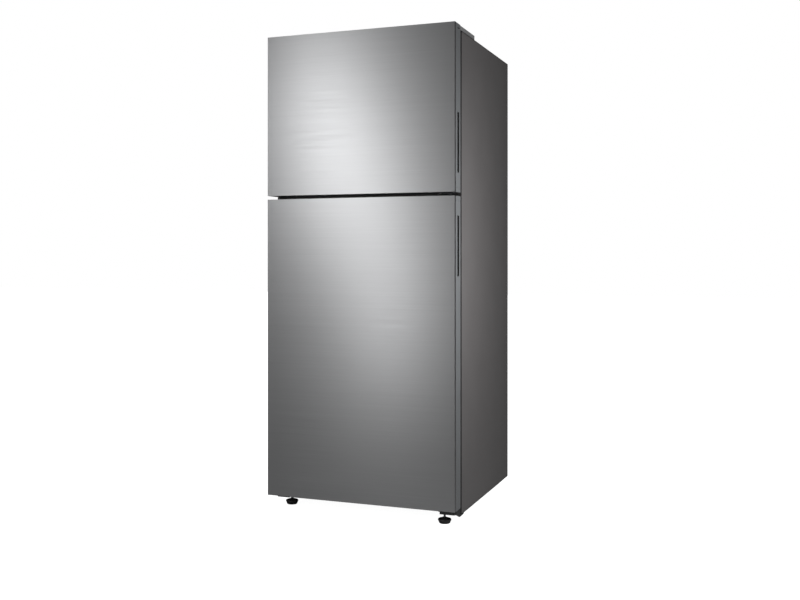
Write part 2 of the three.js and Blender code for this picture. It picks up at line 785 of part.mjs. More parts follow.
// One door in its own frame: x across, y = 0 at its front face, z = 0 at its lower edge.
// gripAt is the low end of the grips; cavity gives the compartment that the door closes.
function door(name, spec) {
  const group = new THREE.Group();
  group.position.set(0, front, spec.bottom);
  refrigerator.add(group);
  const h = spec.height;
  const t = DOOR_THICKNESS;
  const capTop = spec.hingeRecess ? HINGE_CAP_HEIGHT : CAP_HEIGHT;
  const trimLow = CAP_HEIGHT + TOUCH;
  const trimHigh = h - capTop - TOUCH;
  const trimFront = SKIN_RETURN + SHADOW_GROOVE;
  const seat = SKIN + TOUCH;
  const ledge = side - TRIM_LEDGE;
  const dikeX = spec.cavity.half - DIKE_INSET;
  const dikeLow = spec.cavity.low - spec.bottom + DIKE_INSET / 2;
  const dikeHigh = spec.cavity.high - spec.bottom - DIKE_INSET / 2;
  const panY = t - PAN_DEPTH;
  const pinLocalY = PIN_FROM_FRONT;

  // Folded steel front with short returns.
  const skin = upright(
    outline([
      [-side + SKIN, 0],
      [side - SKIN, 0],
      [side, SKIN],
      [side, SKIN_RETURN],
      [side - SKIN, SKIN_RETURN],
      [side - SKIN, SKIN],
      [-side + SKIN, SKIN],
      [-side + SKIN, SKIN_RETURN],
      [-side, SKIN_RETURN],
      [-side, SKIN],
    ]),
    0,
    h,
  );
  add(group, `${name}_skin`, skin, steelFront);

  // Side trim: a wall with a lip behind the skin, a chamfered rear edge and a pocket behind the grip slot.
  const gripLow = spec.gripAt;
  const gripHigh = spec.gripAt + GRIP_LENGTH;
  const pocketFront = GRIP_FROM_FRONT - GRIP_UNDERCUT;
  const pocketBack = GRIP_FROM_FRONT + GRIP_SLOT + GRIP_UNDERCUT;
  const c = DOOR_REAR_CHAMFER;
  const rail = upright(
    outline([
      [side - 2.2, seat],
      [side - 2.2, trimFront],
      [side, trimFront],
      [side, t - c],
      [side - c, t],
      [ledge, t],
      [ledge, t - 2],
      [side - c - 1, t - 2],
      [side - TRIM_WALL, t - c - 1],
      [side - TRIM_WALL, trimFront + 2],
      [side - TRIM_WALL - 2, trimFront + 2],
      [side - TRIM_WALL - 2, seat],
    ]),
    trimLow,
    trimHigh,
  );
  const pocket = (grow, out) =>
    block(
      side - GRIP_POCKET - grow,
      side + out,
      pocketFront - grow,
      pocketBack + grow,
      gripLow - GRIP_UNDERCUT - grow,
      gripHigh + GRIP_UNDERCUT + grow,
    );
  const throat = upright(
    roundedRectangle(side - 20, side + 1, GRIP_FROM_FRONT, GRIP_FROM_FRONT + GRIP_SLOT, 1),
    gripLow,
    gripHigh,
    1,
  );
  const trim = rail
    .add(pocket(GRIP_WALL, -TRIM_WALL / 2))
    .subtract(pocket(0, -TRIM_WALL))
    .subtract(throat);
  add(group, `${name}_trim_right`, trim, trimGrey);
  add(group, `${name}_trim_left`, mirrored(trim), trimGrey);

  // Upper and lower caps: shallow moulded covers with a boss round each hinge pin.
  const capShape = (inset) =>
    outline([
      [-side + 1 + inset, seat + inset],
      [side - 1 - inset, seat + inset],
      [side - 1 - inset, trimFront + inset],
      [side - inset, trimFront + inset],
      [side - inset, t - c - inset],
      [side - c - inset, t - inset],
      [-side + c + inset, t - inset],
      [-side + inset, t - c - inset],
      [-side + inset, trimFront + inset],
      [-side + 1 + inset, trimFront + inset],
    ]);
  const pinHoles = (radius, z0, z1) => {
    const right = rodZ(pinX, pinLocalY, radius, z0, z1, 16);
    return right.add(mirrored(right));
  };
  const lower = upright(capShape(0), 0, CAP_HEIGHT)
    .subtract(upright(capShape(CAP_WALL), CAP_WALL, CAP_HEIGHT + 1))
    .add(pinHoles(PIN_RADIUS + 6, 1, CAP_HEIGHT))
    .subtract(pinHoles(PIN_RADIUS + RUN, -1, CAP_HEIGHT + 1));
  const plugged = spec.plug ? lower.add(rodZ(-pinX, pinLocalY, PIN_RADIUS + 6, -PLUG_PROUD, 2, 16)) : lower;
  add(group, `${name}_cap_bottom`, plugged, trimGrey);
  const capLow = h - capTop;
  const capHollow = upright(capShape(CAP_WALL), capLow - 1, h - CAP_WALL);
  let upper = upright(capShape(0), capLow, h).subtract(capHollow);
  if (spec.hingeRecess) {
    const slotLow = cabinetTop - spec.bottom - RUN;
    const slotHigh = slotLow + TOUCH + HINGE_PLATE + 2 * RUN;
    const shelf = block(side - HINGE_POCKET_LENGTH, side, 0, t, slotLow - CAP_WALL, slotLow);
    upper = upper
      .add(shelf.intersect(upright(capShape(1), 0, h)))
      .add(rodZ(pinX, pinLocalY, PIN_RADIUS + 6, capLow, slotLow - 1, 16))
      .subtract(armSweep(pinLocalY, slotLow, slotHigh))
      .subtract(rodZ(pinX, pinLocalY, PIN_RADIUS + RUN, capLow - 1, slotHigh, 16))
      .subtract(rodZ(pinX, pinLocalY, PIN_RADIUS + 5, slotHigh, h + 1, 20));
  } else {
    upper = upper
      .add(pinHoles(PIN_RADIUS + 6, capLow, h - 1))
      .subtract(pinHoles(PIN_RADIUS + RUN, capLow - 1, h + 1));
  }
  add(group, `${name}_cap_top`, upper, trimGrey);

  // Inner liner: flat flange, a raised dike round the shelves, a sunk pan and nubs that carry the bins.
  const w = DOOR_LINER_WALL;
  const dikeBack = t + DIKE_HEIGHT;
  const panX = dikeX - DIKE_WIDTH;
  const panLow = dikeLow + DIKE_WIDTH;
  const panHigh = dikeHigh - DIKE_WIDTH;
  const flange = block(-ledge + TOUCH, ledge - TOUCH, t - w, t, trimLow, trimHigh);
  const dike = block(-dikeX, dikeX, t - w, dikeBack, dikeLow, dikeHigh);
  const pan = (grow, y1) =>
    block(-panX - grow, panX + grow, panY - grow, y1, panLow - grow, panHigh + grow);
  const dikeHollow = block(-dikeX + w, dikeX - w, t - w - 1, dikeBack - w, dikeLow + w, dikeHigh - w);
  let liner = join(flange, dike, pan(w, t)).subtract(dikeHollow.subtract(pan(w, dikeBack)));
  liner = liner.subtract(pan(0, dikeBack + 1));
  for (const bin of spec.bins) {
    const nubTop = bin.z + BIN_HEIGHT - 8;
    const nub = block(panX - BIN_NUB, panX + w / 2, panY + 12, dikeBack - 4, nubTop - 12, nubTop);
    liner = join(liner, nub, mirrored(nub));
  }
  add(group, `${name}_liner`, liner, whitePlastic);

  // Foam core, with room left for the grips, the pan and the cap bosses.
  const core = block(
    -side + TRIM_WALL + 3,
    side - TRIM_WALL - 3,
    seat,
    t - w - TOUCH,
    CAP_HEIGHT + TOUCH,
    h - capTop - TOUCH,
  );
  const grips = pocket(GRIP_WALL + TOUCH, 1);
  const rib = block(side - c - 4, side, seat, t, 0, h);
  const filled = dikeHollow.subtract(pan(w + TOUCH, dikeBack));
  const inDike = block(
    -dikeX + w + TOUCH,
    dikeX - w - TOUCH,
    t - w - 1,
    dikeBack - w - TOUCH,
    dikeLow + w + TOUCH,
    dikeHigh - w - TOUCH,
  );
  const insulation = core
    .add(filled.intersect(inDike))
    .subtract(pan(w + TOUCH, dikeBack))
    .subtract(join(grips, mirrored(grips)))
    .subtract(join(rib, mirrored(rib)));
  add(group, `${name}_insulation`, insulation, foam);

  // Magnetic gasket, a flat ring with a fold line along its middle.
  const ringX = side - GASKET_SIDE_INSET;
  const ringLow = spec.gasketLow;
  const ringHigh = h - spec.gasketHigh;
  const ring = (inset, y0, y1) =>
    block(-ringX + inset, ringX - inset, y0, y1, ringLow + inset, ringHigh - inset);
  const gasketBack = t + DOOR_GAP - TOUCH;
  const gasket = ring(2, t + TOUCH, t + 3.5)
    .add(ring(0, t + 3.5, gasketBack))
    .subtract(ring(GASKET_WIDTH, t, gasketBack + 1));
  add(group, `${name}_gasket`, gasket, greyRubber);

  for (const bin of spec.bins) {
    const made = doorBin(panX, spec.binDepth, spec.binCorner);
    add(group, bin.name, made, clearPlastic, [0, panY + 0.8, bin.z]);
  }
}

// A door bin in its own frame: y = 0 at the door, z = 0 under its floor, rims resting on the nubs.
function doorBin(panX, depth, corner) {
  const half = panX - BIN_NUB - 1;
  const body = tray(-half, half, 0, depth, 0, BIN_HEIGHT, BIN_WALL, corner);
  const rimLow = BIN_HEIGHT - 8 + TOUCH;
  const rim = block(half - 1, half + BIN_RIM, 12, DIKE_HEIGHT, rimLow, rimLow + 3);
  return join(body, rim, mirrored(rim));
}

// ---------------------------------------------------------------- inside the fresh food compartment

// Glass plate with a deep front trim and a slim rear one.
function glassShelf(half, y0, y1, z) {
  return join(
    block(-half, half, y0 + 4, y1 - 2, z, z + GLASS),
    block(-half, half, y0, y0 + SHELF_TRIM, z - 3, z + GLASS + 2),
    block(-half, half, y1 - 8, y1, z, z + GLASS + 8),
  );
}

function crisperCover() {
  const half = fridgeHalf - SHELF_SIDE_GAP;
  const divider = block(-3, 3, shelfFront + 2, humpFoot - 30, crisperShelf - 22, crisperShelf + 1);
  return glassShelf(half, shelfFront, ductFront - 2, crisperShelf).add(divider);
}

const drawerHalf = (fridgeHalf - CRISPER_SIDE_GAP - CRISPER_MIDDLE_GAP / 2) / 2;

// Open drawer in its own frame: y = 0 at its front face, z = 0 underneath, centred across.
function crisperDrawer() {
  const half = drawerHalf;
  const deep = humpFoot - 6 - shelfFront - 4;
  const high = crisperShelf - FRIDGE_FLOOR - CRISPER_BELOW_COVER;
  const body = tray(-half, half, 0, deep, 0, high, CRISPER_WALL, 8, CRISPER_FRONT);
  const grip = block(-half + 20, half - 20, -10, 1, high - 16, high - 12);
  const lip = block(-half + 20, half - 20, -10, -6, high - 26, high - 12);
  return join(body, grip, lip);
}

// Moulded cover over the cold air duct on the back wall, with pairs of outlets.
function airDuctCover() {
  const half = DUCT_WIDTH / 2;
  const low = crisperShelf + 30;
  const high = fridgeTop - CONTROL_HEIGHT - 16;
  const wall = 2;
  let cover = block(-half, half, ductFront, linerBack - TOUCH, low, high).subtract(
    block(-half + wall, half - wall, ductFront + wall, linerBack + 1, low + wall, high - wall),
  );
  for (const z of [middleShelf - 60, upperShelf - 70, upperShelf + 110]) {
    const outlet = block(18, half - 18, ductFront - 1, ductFront + wall + 1, z, z + 12);
    cover = cover.subtract(outlet).subtract(mirrored(outlet));
  }
  return cover;
}

const controlFront = doorBack + DIKE_HEIGHT + 22;
const buttonZ = fridgeTop - CONTROL_HEIGHT / 2;
const buttonX = 34;

// Ceiling housing for the lamp and the two push buttons, open at the top.
function controlHousing() {
  const half = CONTROL_WIDTH / 2;
  const wall = 2.5;
  const low = fridgeTop - CONTROL_HEIGHT;
  const high = fridgeTop - TOUCH;
  const outside = roundedRectangle(-half, half, controlFront, controlFront + CONTROL_DEPTH, 10);
  const shell = upright(outside, low, high, 3);
  const hollow = roundedRectangle(
    -half + wall,
    half - wall,
    controlFront + wall,
    controlFront + CONTROL_DEPTH - wall,
    8,
  );
  const holes = [-1, 1].map((s) =>
    rodY(s * buttonX, buttonZ, BUTTON_RADIUS + RUN, controlFront - 1, controlFront + 5, 20),
  );
  const open = shell.subtract(upright(hollow, low + wall, high + 1, 3));
  return holes.reduce((made, hole) => made.subtract(hole), open);
}

function pushButton() {
  return rodY(0, 0, BUTTON_RADIUS, -BUTTON_PROUD, 8, 20).add(rodY(0, 0, BUTTON_RADIUS - 3, 7, 11, 12));
}

// ---------------------------------------------------------------- inside the freezer compartment

const fanZ = freezerTop - FAN_BELOW_TOP;

// Panel in front of the evaporator: slots over the fan, outlets beside it
// and a return opening at the floor.
function evaporatorCover() {
  const half = freezerHalf - RUN;
  const low = freezerFloor + RUN;
  const high = freezerTop - RUN;
  let panel = block(-half, half, evaporatorFront, evaporatorFront + COVER_PANEL, low, high);
  const slots = 7;
  for (let i = 0; i < slots; i++) {
    const offset = (i - (slots - 1) / 2) * 13;
    const reach = Math.sqrt((FAN_RADIUS + 4) ** 2 - offset ** 2);
    panel = panel.subtract(
      block(-reach, reach, evaporatorFront - 1, evaporatorFront + 5, fanZ + offset - 4, fanZ + offset + 4),
    );
  }
  for (let i = 0; i < 3; i++) {
    const z = fanZ + i * 16;
    const outlet = block(110, half - 40, evaporatorFront - 1, evaporatorFront + 5, z, z + 7);
    panel = panel.subtract(outlet).subtract(mirrored(outlet));
  }
  const inlet = block(-half + 60, half - 60, evaporatorFront - 1, evaporatorFront + 5, low + 12, low + 26);
  const rim = block(half - COVER_PANEL, half, evaporatorFront + 1, linerBack - 2, low, high);
  return join(panel.subtract(inlet), rim, mirrored(rim));
}

// Finned coil: level tube runs through upright fins.
function evaporatorCoil() {
  const half = freezerHalf - 45;
  const runs = 4;
  const pitch = 56;
  const low = freezerFloor + 40;
  const y = evaporatorFront + EVAPORATOR_SPACE / 2 + 6;
  const pieces = [];
  for (let i = 0; i < runs; i++) {
    const z = low + 20 + i * pitch;
    pieces.push(rodX(y, z, 4, -half - 10, half + 10, 6));
    if (i < runs - 1) {
      const x = (i % 2 ? -1 : 1) * (half + 7);
      pieces.push(rodZ(x, y, 3.6, z, z + pitch, 6));
    }
  }
  const fins = 8;
  for (let i = 0; i < fins; i++) {
    const x = -half + (2 * half * i) / (fins - 1);
    pieces.push(block(x - 0.6, x + 0.6, y - 22, y + 22, low, low + runs * pitch));
  }
  return join(...pieces);
}

// Motor can with its shaft, held on a crossbar with two legs that reach the cover.
function evaporatorFanMotor() {
  const shaftStart = evaporatorFront + COVER_PANEL + 6;
  const canStart = evaporatorFront + COVER_PANEL + 30;
  const bar = block(-66, 66, canStart + 2, canStart + 5, fanZ - 8, fanZ + 8);
  const legs = [-66, 60].map((x) =>
    block(x, x + 6, evaporatorFront + COVER_PANEL + TOUCH, canStart + 5, fanZ - 8, fanZ + 8),
  );
  return join(
    rodY(0, fanZ, 24, canStart, canStart + 28, 20),
    rodY(0, fanZ, 2, shaftStart, canStart + 1, 10),
    bar,
    ...legs,
  );
}

// Fan wheel about its own origin: a hub with pitched blades.
function fanBlade() {
  const blades = 5;
  const pieces = [rodY(0, 0, 13, -8, 8, 18)];
  for (let i = 0; i < blades; i++) {
    const blade = new THREE.BoxGeometry(26, 2, FAN_RADIUS - 10);
    blade.translate(0, 0, (FAN_RADIUS + 10) / 2).rotateZ(Math.PI / 6);
    blade.rotateY((i * 2 * Math.PI) / blades);
    pieces.push(solid(blade));
  }
  const trimmed = join(...pieces).intersect(rodY(0, 0, FAN_RADIUS, -9, 9, 30));
  return trimmed.subtract(rodY(0, 0, 2 + TOUCH, -12, 12, 10));
}

// Ice maker, in its own frame: x across, y = 0 at the front, z = 0 underneath.
function iceMakerFrame() {
  const half = ICE_WIDTH / 2;
  const w = ICE_WALL;
  const hole = (y0, y1) => rodY(0, ICE_AXIS, 6 + RUN, y0, y1, 16);
  const bar = block(-half, half, 0, 4, ICE_AXIS - 14, ICE_AXIS + 14).subtract(hole(-1, 5));
  return join(
    block(-half, half, 0, ICE_DEPTH, 0, w),
    block(-half, -half + w, 0, ICE_DEPTH, 0, ICE_HEIGHT),
    block(half - w, half, 0, ICE_DEPTH, 0, ICE_HEIGHT),
    block(-half, half, ICE_DEPTH - w, ICE_DEPTH, 0, ICE_HEIGHT)
      .subtract(hole(ICE_DEPTH - 5, ICE_DEPTH + 1)),
    bar,
  );
}

// Twisting tray about its own axis: two rows of cups, journals at both ends and a knob at the front.
function iceTray() {
  const half = ICE_WIDTH / 2 - 12;
  const deep = 17;
  const y0 = 8;
  const y1 = ICE_DEPTH - ICE_WALL - 6;
  const cups = 4;
  const pitch = (y1 - y0 - 4) / cups;
  let made = block(-half, half, y0, y1, -deep, deep);
  for (const s of [-1, 1]) {
    for (let i = 0; i < cups; i++) {
      const start = y0 + 4 + i * pitch;
      const x0 = s < 0 ? -half + 3 : 1.5;
      made = made.subtract(block(x0, x0 + half - 4.5, start, start + pitch - 4, -deep + 3, deep + 1));
    }
  }
  return join(
    made,
    rodY(0, 0, 6, -6, y0 + 1, 16),
    rodY(0, 0, 6, y1 - 1, ICE_DEPTH - 0.5, 16),
    rodY(0, 0, 15, -16, -1, 24),
    block(-3, 3, -22, -12, -13, 13),
  );
}

function iceBin() {
  const half = ICE_WIDTH / 2 - ICE_WALL - 1.5;
  const body = tray(-half, half, 1, ICE_DEPTH - ICE_WALL - 4, 0, ICE_BIN_HEIGHT, 2, 6, 3);
  return body.add(block(-26, 26, -8, 2, ICE_BIN_HEIGHT - 12, ICE_BIN_HEIGHT - 8));
}

// ---------------------------------------------------------------- assembly

const cabinet = new THREE.Group();
refrigerator.add(cabinet);

add(cabinet, "side_panel_right", sidePanel(), cabinetGrey);
add(cabinet, "side_panel_left", mirrored(sidePanel()), cabinetGrey);
add(cabinet, "top_panel", topPanel(), cabinetGrey);
add(cabinet, "back_panel", backPanel(), galvanised);
add(cabinet, "base_panel", basePanel(), galvanised);
add(cabinet, "center_rail", centerRail(), cabinetGrey);
add(cabinet, "cabinet_insulation", cabinetInsulation(), foam);
add(cabinet, "fresh_food_liner", fridgeLiner(), whitePlastic);
add(cabinet, "freezer_liner", freezerLiner(), whitePlastic);

const machineMiddle = (nicheFront + rearSheet) / 2;
const compressorX = side - COMPRESSOR_FROM_SIDE;
const panEnd = compressorX - COMPRESSOR_PLATE - PAN_GAP;
add(cabinet, "machine_deck", machineDeck(), blackSteel);
add(cabinet, "compressor", compressor(compressorX, machineMiddle), blackSteel);
add(
  cabinet,
  "condenser_coil",
  condenserCoil(-innerSide + 60, panEnd + 15, machineMiddle + 20, DECK_Z + 52),
  copper,
);
const panFloor = DECK_Z + DECK + TOUCH;
add(
  cabinet,
  "drain_pan",
  tray(-innerSide + 40, panEnd, nicheFront + 12, machineMiddle + 4, panFloor, DECK_Z + 36, 2, 8),
  blackPlastic,
);
add(cabinet, "rear_cover", rearCover(), galvanised);

add(cabinet, "top_hinge", topHinge(), blackSteel);
add(cabinet, "top_hinge_cover", topHingeCover(), trimGrey);
add(cabinet, "middle_hinge", middleHinge(), blackSteel);
add(cabinet, "bottom_hinge", bottomHinge(), blackSteel);

add(cabinet, "evaporator_cover", evaporatorCover(), whitePlastic);
add(cabinet, "evaporator_coil", evaporatorCoil(), aluminium);
add(cabinet, "evaporator_fan_motor", evaporatorFanMotor(), blackPlastic);
const fanY = evaporatorFront + COVER_PANEL + 17;
add(cabinet, "evaporator_fan_blade", fanBlade(), blackPlastic, [0, fanY, fanZ]);
const freezerShelfHalf = freezerHalf - SHELF_SIDE_GAP;
add(
  cabinet,
  "freezer_shelf",
  glassShelf(freezerShelfHalf, shelfFront - 20, evaporatorFront - 1, freezerShelf),
  glass,
);

const iceX = -freezerHalf + ICE_WIDTH / 2 + 14;
const iceY = shelfFront - 2;
const iceZ = freezerShelf + GLASS + TOUCH;
add(cabinet, "ice_maker_frame", iceMakerFrame(), whitePlastic, [iceX, iceY, iceZ]);
add(cabinet, "ice_tray", iceTray(), clearPlastic, [iceX, iceY, iceZ + ICE_AXIS]);
add(cabinet, "ice_bin", iceBin(), clearPlastic, [iceX, iceY, iceZ + ICE_WALL + RUN]);

add(cabinet, "air_duct_cover", airDuctCover(), whitePlastic);
add(cabinet, "control_housing", controlHousing(), whitePlastic);
add(cabinet, "freezer_button", pushButton(), trimGrey, [-buttonX, controlFront, buttonZ]);
add(cabinet, "fridge_button", pushButton(), trimGrey, [buttonX, controlFront, buttonZ]);
const shelfHalf = fridgeHalf - SHELF_SIDE_GAP;
add(cabinet, "shelf_upper", glassShelf(shelfHalf, shelfFront, ductFront - 2, upperShelf), glass);
add(cabinet, "shelf_middle", glassShelf(shelfHalf, shelfFront, ductFront - 2, middleShelf), glass);
add(cabinet, "crisper_cover", crisperCover(), glass);
const drawerX = drawerHalf + CRISPER_MIDDLE_GAP / 2;
const drawerAt = (x) => [x, shelfFront + 4, FRIDGE_FLOOR + RUN];
add(cabinet, "crisper_left", crisperDrawer(), clearPlastic, drawerAt(-drawerX));
add(cabinet, "crisper_right", crisperDrawer(), clearPlastic, drawerAt(drawerX));

const footX = side - FOOT_FROM_SIDE;
add(cabinet, "front_foot_left", levellingFoot(STUD_TOP), blackPlastic, [-footX, footLeftY, 0]);
add(cabinet, "front_foot_right", levellingFoot(STUD_TOP), blackPlastic, [footX, footRightY, 0]);
const rollerX = side - ROLLER_FROM_SIDE;
add(cabinet, "rear_roller_left", roller(), blackPlastic, [-rollerX, rollerY, ROLLER_RADIUS]);
add(cabinet, "rear_roller_right", roller(), blackPlastic, [rollerX, rollerY, ROLLER_RADIUS]);

door("freezer_door", {
  bottom: freezerDoorBottom,
  height: FREEZER_DOOR_HEIGHT,
  hingeRecess: true,
  gripAt: GRIP_FROM_SPLIT,
  gasketLow: GASKET_SPLIT_INSET,
  gasketHigh: GASKET_END_INSET,
  cavity: { half: freezerHalf, low: freezerFloor, high: freezerTop },
  binDepth: FREEZER_BIN_DEPTH,
  binCorner: FREEZER_BIN_CORNER,
  bins: [
    { name: "freezer_bin_lower", z: FREEZER_LOWER_BIN },
    { name: "freezer_bin_upper", z: FREEZER_UPPER_BIN },
  ],
});

door("fridge_door", {
  bottom: DOOR_BOTTOM,
  height: FRIDGE_DOOR_HEIGHT,
  hingeRecess: false,
  plug: true,
  gripAt: FRIDGE_DOOR_HEIGHT - GRIP_FROM_SPLIT - GRIP_LENGTH,
  gasketLow: GASKET_END_INSET,
  gasketHigh: GASKET_SPLIT_INSET,
  cavity: { half: fridgeHalf, low: FRIDGE_FLOOR, high: fridgeTop },
  binDepth: FRIDGE_BIN_DEPTH,
  binCorner: FRIDGE_BIN_CORNER,
  bins: [
    { name: "door_bin_lower", z: LOWER_BIN },
    { name: "door_bin_middle", z: MIDDLE_BIN },
    { name: "door_bin_upper", z: UPPER_BIN },
  ],
});

export default refrigerator;
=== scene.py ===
import math

import bmesh
import bpy
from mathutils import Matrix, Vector


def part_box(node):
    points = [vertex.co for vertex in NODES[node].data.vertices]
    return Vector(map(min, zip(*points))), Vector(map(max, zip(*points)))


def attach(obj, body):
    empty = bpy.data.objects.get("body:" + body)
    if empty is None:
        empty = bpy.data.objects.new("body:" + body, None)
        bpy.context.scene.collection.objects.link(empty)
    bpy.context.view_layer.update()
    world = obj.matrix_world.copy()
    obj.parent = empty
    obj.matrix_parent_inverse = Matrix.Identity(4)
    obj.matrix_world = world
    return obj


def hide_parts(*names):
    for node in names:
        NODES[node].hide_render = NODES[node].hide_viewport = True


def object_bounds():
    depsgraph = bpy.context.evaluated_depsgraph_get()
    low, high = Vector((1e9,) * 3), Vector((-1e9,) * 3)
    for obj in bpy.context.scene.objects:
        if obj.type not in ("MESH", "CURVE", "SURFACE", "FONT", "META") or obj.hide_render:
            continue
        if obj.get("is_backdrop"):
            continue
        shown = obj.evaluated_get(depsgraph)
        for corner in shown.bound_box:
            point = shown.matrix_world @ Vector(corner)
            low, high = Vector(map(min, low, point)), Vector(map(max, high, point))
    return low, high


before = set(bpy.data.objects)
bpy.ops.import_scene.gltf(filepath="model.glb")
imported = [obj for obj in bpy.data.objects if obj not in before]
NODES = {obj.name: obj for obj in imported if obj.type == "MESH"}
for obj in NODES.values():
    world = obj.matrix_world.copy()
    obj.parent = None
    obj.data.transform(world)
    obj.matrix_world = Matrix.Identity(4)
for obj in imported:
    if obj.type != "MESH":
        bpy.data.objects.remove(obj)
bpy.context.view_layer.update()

SCENE = bpy.context.scene

# ---------------------------------------------------------------- camera

camera_data = bpy.data.cameras.new("camera")
camera = bpy.data.objects.new("camera", camera_data)
SCENE.collection.objects.link(camera)
SCENE.camera = camera
CAMERA_PLACE = (1.3353, -3.6942, 0.9088)
CAMERA_TURN = 21.78
FOCAL_LENGTH = 46.34
LENS_SHIFT = (0.05, -0.0546)
camera.location = CAMERA_PLACE
camera.rotation_euler = (math.radians(90), 0, math.radians(CAMERA_TURN))
camera_data.sensor_width = 36
camera_data.lens = FOCAL_LENGTH
camera_data.shift_x, camera_data.shift_y = LENS_SHIFT
camera_data.clip_end = 60

# ---------------------------------------------------------------- sizes shared with the CAD model, in metres

MM = 0.001
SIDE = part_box("side_panel_right")[1].x
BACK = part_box("side_panel_right")[1].y
CABINET_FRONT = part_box("side_panel_right")[0].y
CABINET_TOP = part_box("side_panel_right")[1].z
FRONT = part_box("fridge_door_skin")[0].y
DOOR_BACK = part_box("fridge_door_trim_right")[1].y
DOOR_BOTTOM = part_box("fridge_door_skin")[0].z
PIN_X = SIDE - 24 * MM
PIN_Y = FRONT + 38.5 * MM

# ---------------------------------------------------------------- materials


def new_material(name):
    mat = bpy.data.materials.new(name)
    mat.use_nodes = True
    shader = mat.node_tree.nodes["Principled BSDF"]
    return mat, mat.node_tree.nodes, mat.node_tree.links, shader


def noise(nodes, links, stretch, scale, detail=3.0, roughness=0.5):
    place = nodes.new("ShaderNodeTexCoord")
    mapping = nodes.new("ShaderNodeMapping")
    mapping.inputs["Scale"].default_value = stretch
    texture = nodes.new("ShaderNodeTexNoise")
    texture.inputs["Scale"].default_value = scale
    texture.inputs["Detail"].default_value = detail
    texture.inputs["Roughness"].default_value = roughness
    links.new(place.outputs["Object"], mapping.inputs["Vector"])
    links.new(mapping.outputs["Vector"], texture.inputs["Vector"])
    return texture.outputs["Fac"]


def ramp(nodes, links, source, low, high, start=0.3, end=0.7):
    node = nodes.new("ShaderNodeValToRGB")
    node.color_ramp.elements[0].position = start
    node.color_ramp.elements[1].position = end
    node.color_ramp.elements[0].color = (*low, 1)
    node.color_ramp.elements[1].color = (*high, 1)
    links.new(source, node.inputs["Fac"])
    return node.outputs["Color"]


def spread(nodes, links, source, low, high):
    node = nodes.new("ShaderNodeMapRange")
    node.inputs["From Min"].default_value = 0.3
    node.inputs["From Max"].default_value = 0.7
    node.inputs["To Min"].default_value = low
    node.inputs["To Max"].default_value = high
    links.new(source, node.inputs["Value"])
    return node.outputs["Result"]


def bump(nodes, links, shader, source, strength, distance):
    node = nodes.new("ShaderNodeBump")
    node.inputs["Strength"].default_value = strength
    node.inputs["Distance"].default_value = distance
    links.new(source, node.inputs["Height"])
    links.new(node.outputs["Normal"], shader.inputs["Normal"])


def shade(color, amount):
    return tuple(max(0.0, min(1.0, c * (1 + amount))) for c in color)


def moulded(name, color, rough, grain=900, depth=0.00006, mottle=0.05):
    """Plastic or paint: a fine surface grain, a slow change of tone and an uneven gloss."""
    mat, nodes, links, shader = new_material(name)
    slow = noise(nodes, links, (1, 1, 1), 9, 2)
    fine = noise(nodes, links, (1, 1, 1), grain, 2)
    tone = ramp(nodes, links, slow, shade(color, -mottle), shade(color, mottle))
    links.new(tone, shader.inputs["Base Color"])
    links.new(spread(nodes, links, fine, rough - 0.05, rough + 0.06), shader.inputs["Roughness"])
    bump(nodes, links, shader, fine, 0.35, depth)
    return mat


def painted_shade_bands(mat, axis, places, depth=0.2):
    """Paint shade as darker narrow bands across the surface, each given by its centre and half width along an
    axis.
    """
    nodes, links = mat.node_tree.nodes, mat.node_tree.links
    shader = nodes["Principled BSDF"]
    place = nodes.new("ShaderNodeTexCoord")
    split = nodes.new("ShaderNodeSeparateXYZ")
    links.new(place.outputs["Object"], split.inputs["Vector"])
    for centre, half in places:
        away = nodes.new("ShaderNodeMath")
        away.operation = "SUBTRACT"
        away.inputs[1].default_value = centre
        links.new(split.outputs[axis], away.inputs[0])
        size = nodes.new("ShaderNodeMath")
        size.operation = "ABSOLUTE"
        links.new(away.outputs[0], size.inputs[0])
        fade = nodes.new("ShaderNodeMapRange")
        fade.inputs["From Min"].default_value = half * 0.6
        fade.inputs["From Max"].default_value = half
        fade.inputs["To Min"].default_value = depth
        fade.inputs["To Max"].default_value = 1.0
        links.new(size.outputs[0], fade.inputs["Value"])
        darker = nodes.new("ShaderNodeMix")
        darker.data_type = "RGBA"
        darker.blend_type = "MULTIPLY"
        darker.inputs["Factor"].default_value = 1.0
        links.new(shader.inputs["Base Color"].links[0].from_socket, darker.inputs[6])
        links.new(fade.outputs["Result"], darker.inputs[7])
        links.new(darker.outputs[2], shader.inputs["Base Color"])


def brushed(name, color, rough, stretch):
    """Metal with long fine scratches along one axis."""
    mat, nodes, links, shader = new_material(name)
    lines = noise(nodes, links, stretch, 1.0, 4, 0.6)
    bands = noise(nodes, links, tuple(s * 0.12 for s in stretch), 1.0, 2)
    tone = ramp(nodes, links, bands, shade(color, -0.012), shade(color, 0.012))
    mix = nodes.new("ShaderNodeMix")
    mix.data_type = "RGBA"
    mix.blend_type = "MULTIPLY"
    mix.inputs["Factor"].default_value = 1.0
    links.new(tone, mix.inputs[6])
    links.new(ramp(nodes, links, lines, (0.93, 0.93, 0.93), (1, 1, 1)), mix.inputs[7])
    links.new(mix.outputs[2], shader.inputs["Base Color"])
    links.new(spread(nodes, links, lines, rough - 0.04, rough + 0.04), shader.inputs["Roughness"])
    shader.inputs["Metallic"].default_value = 1.0
    bump(nodes, links, shader, lines, 0.12, 0.00003)
    return mat


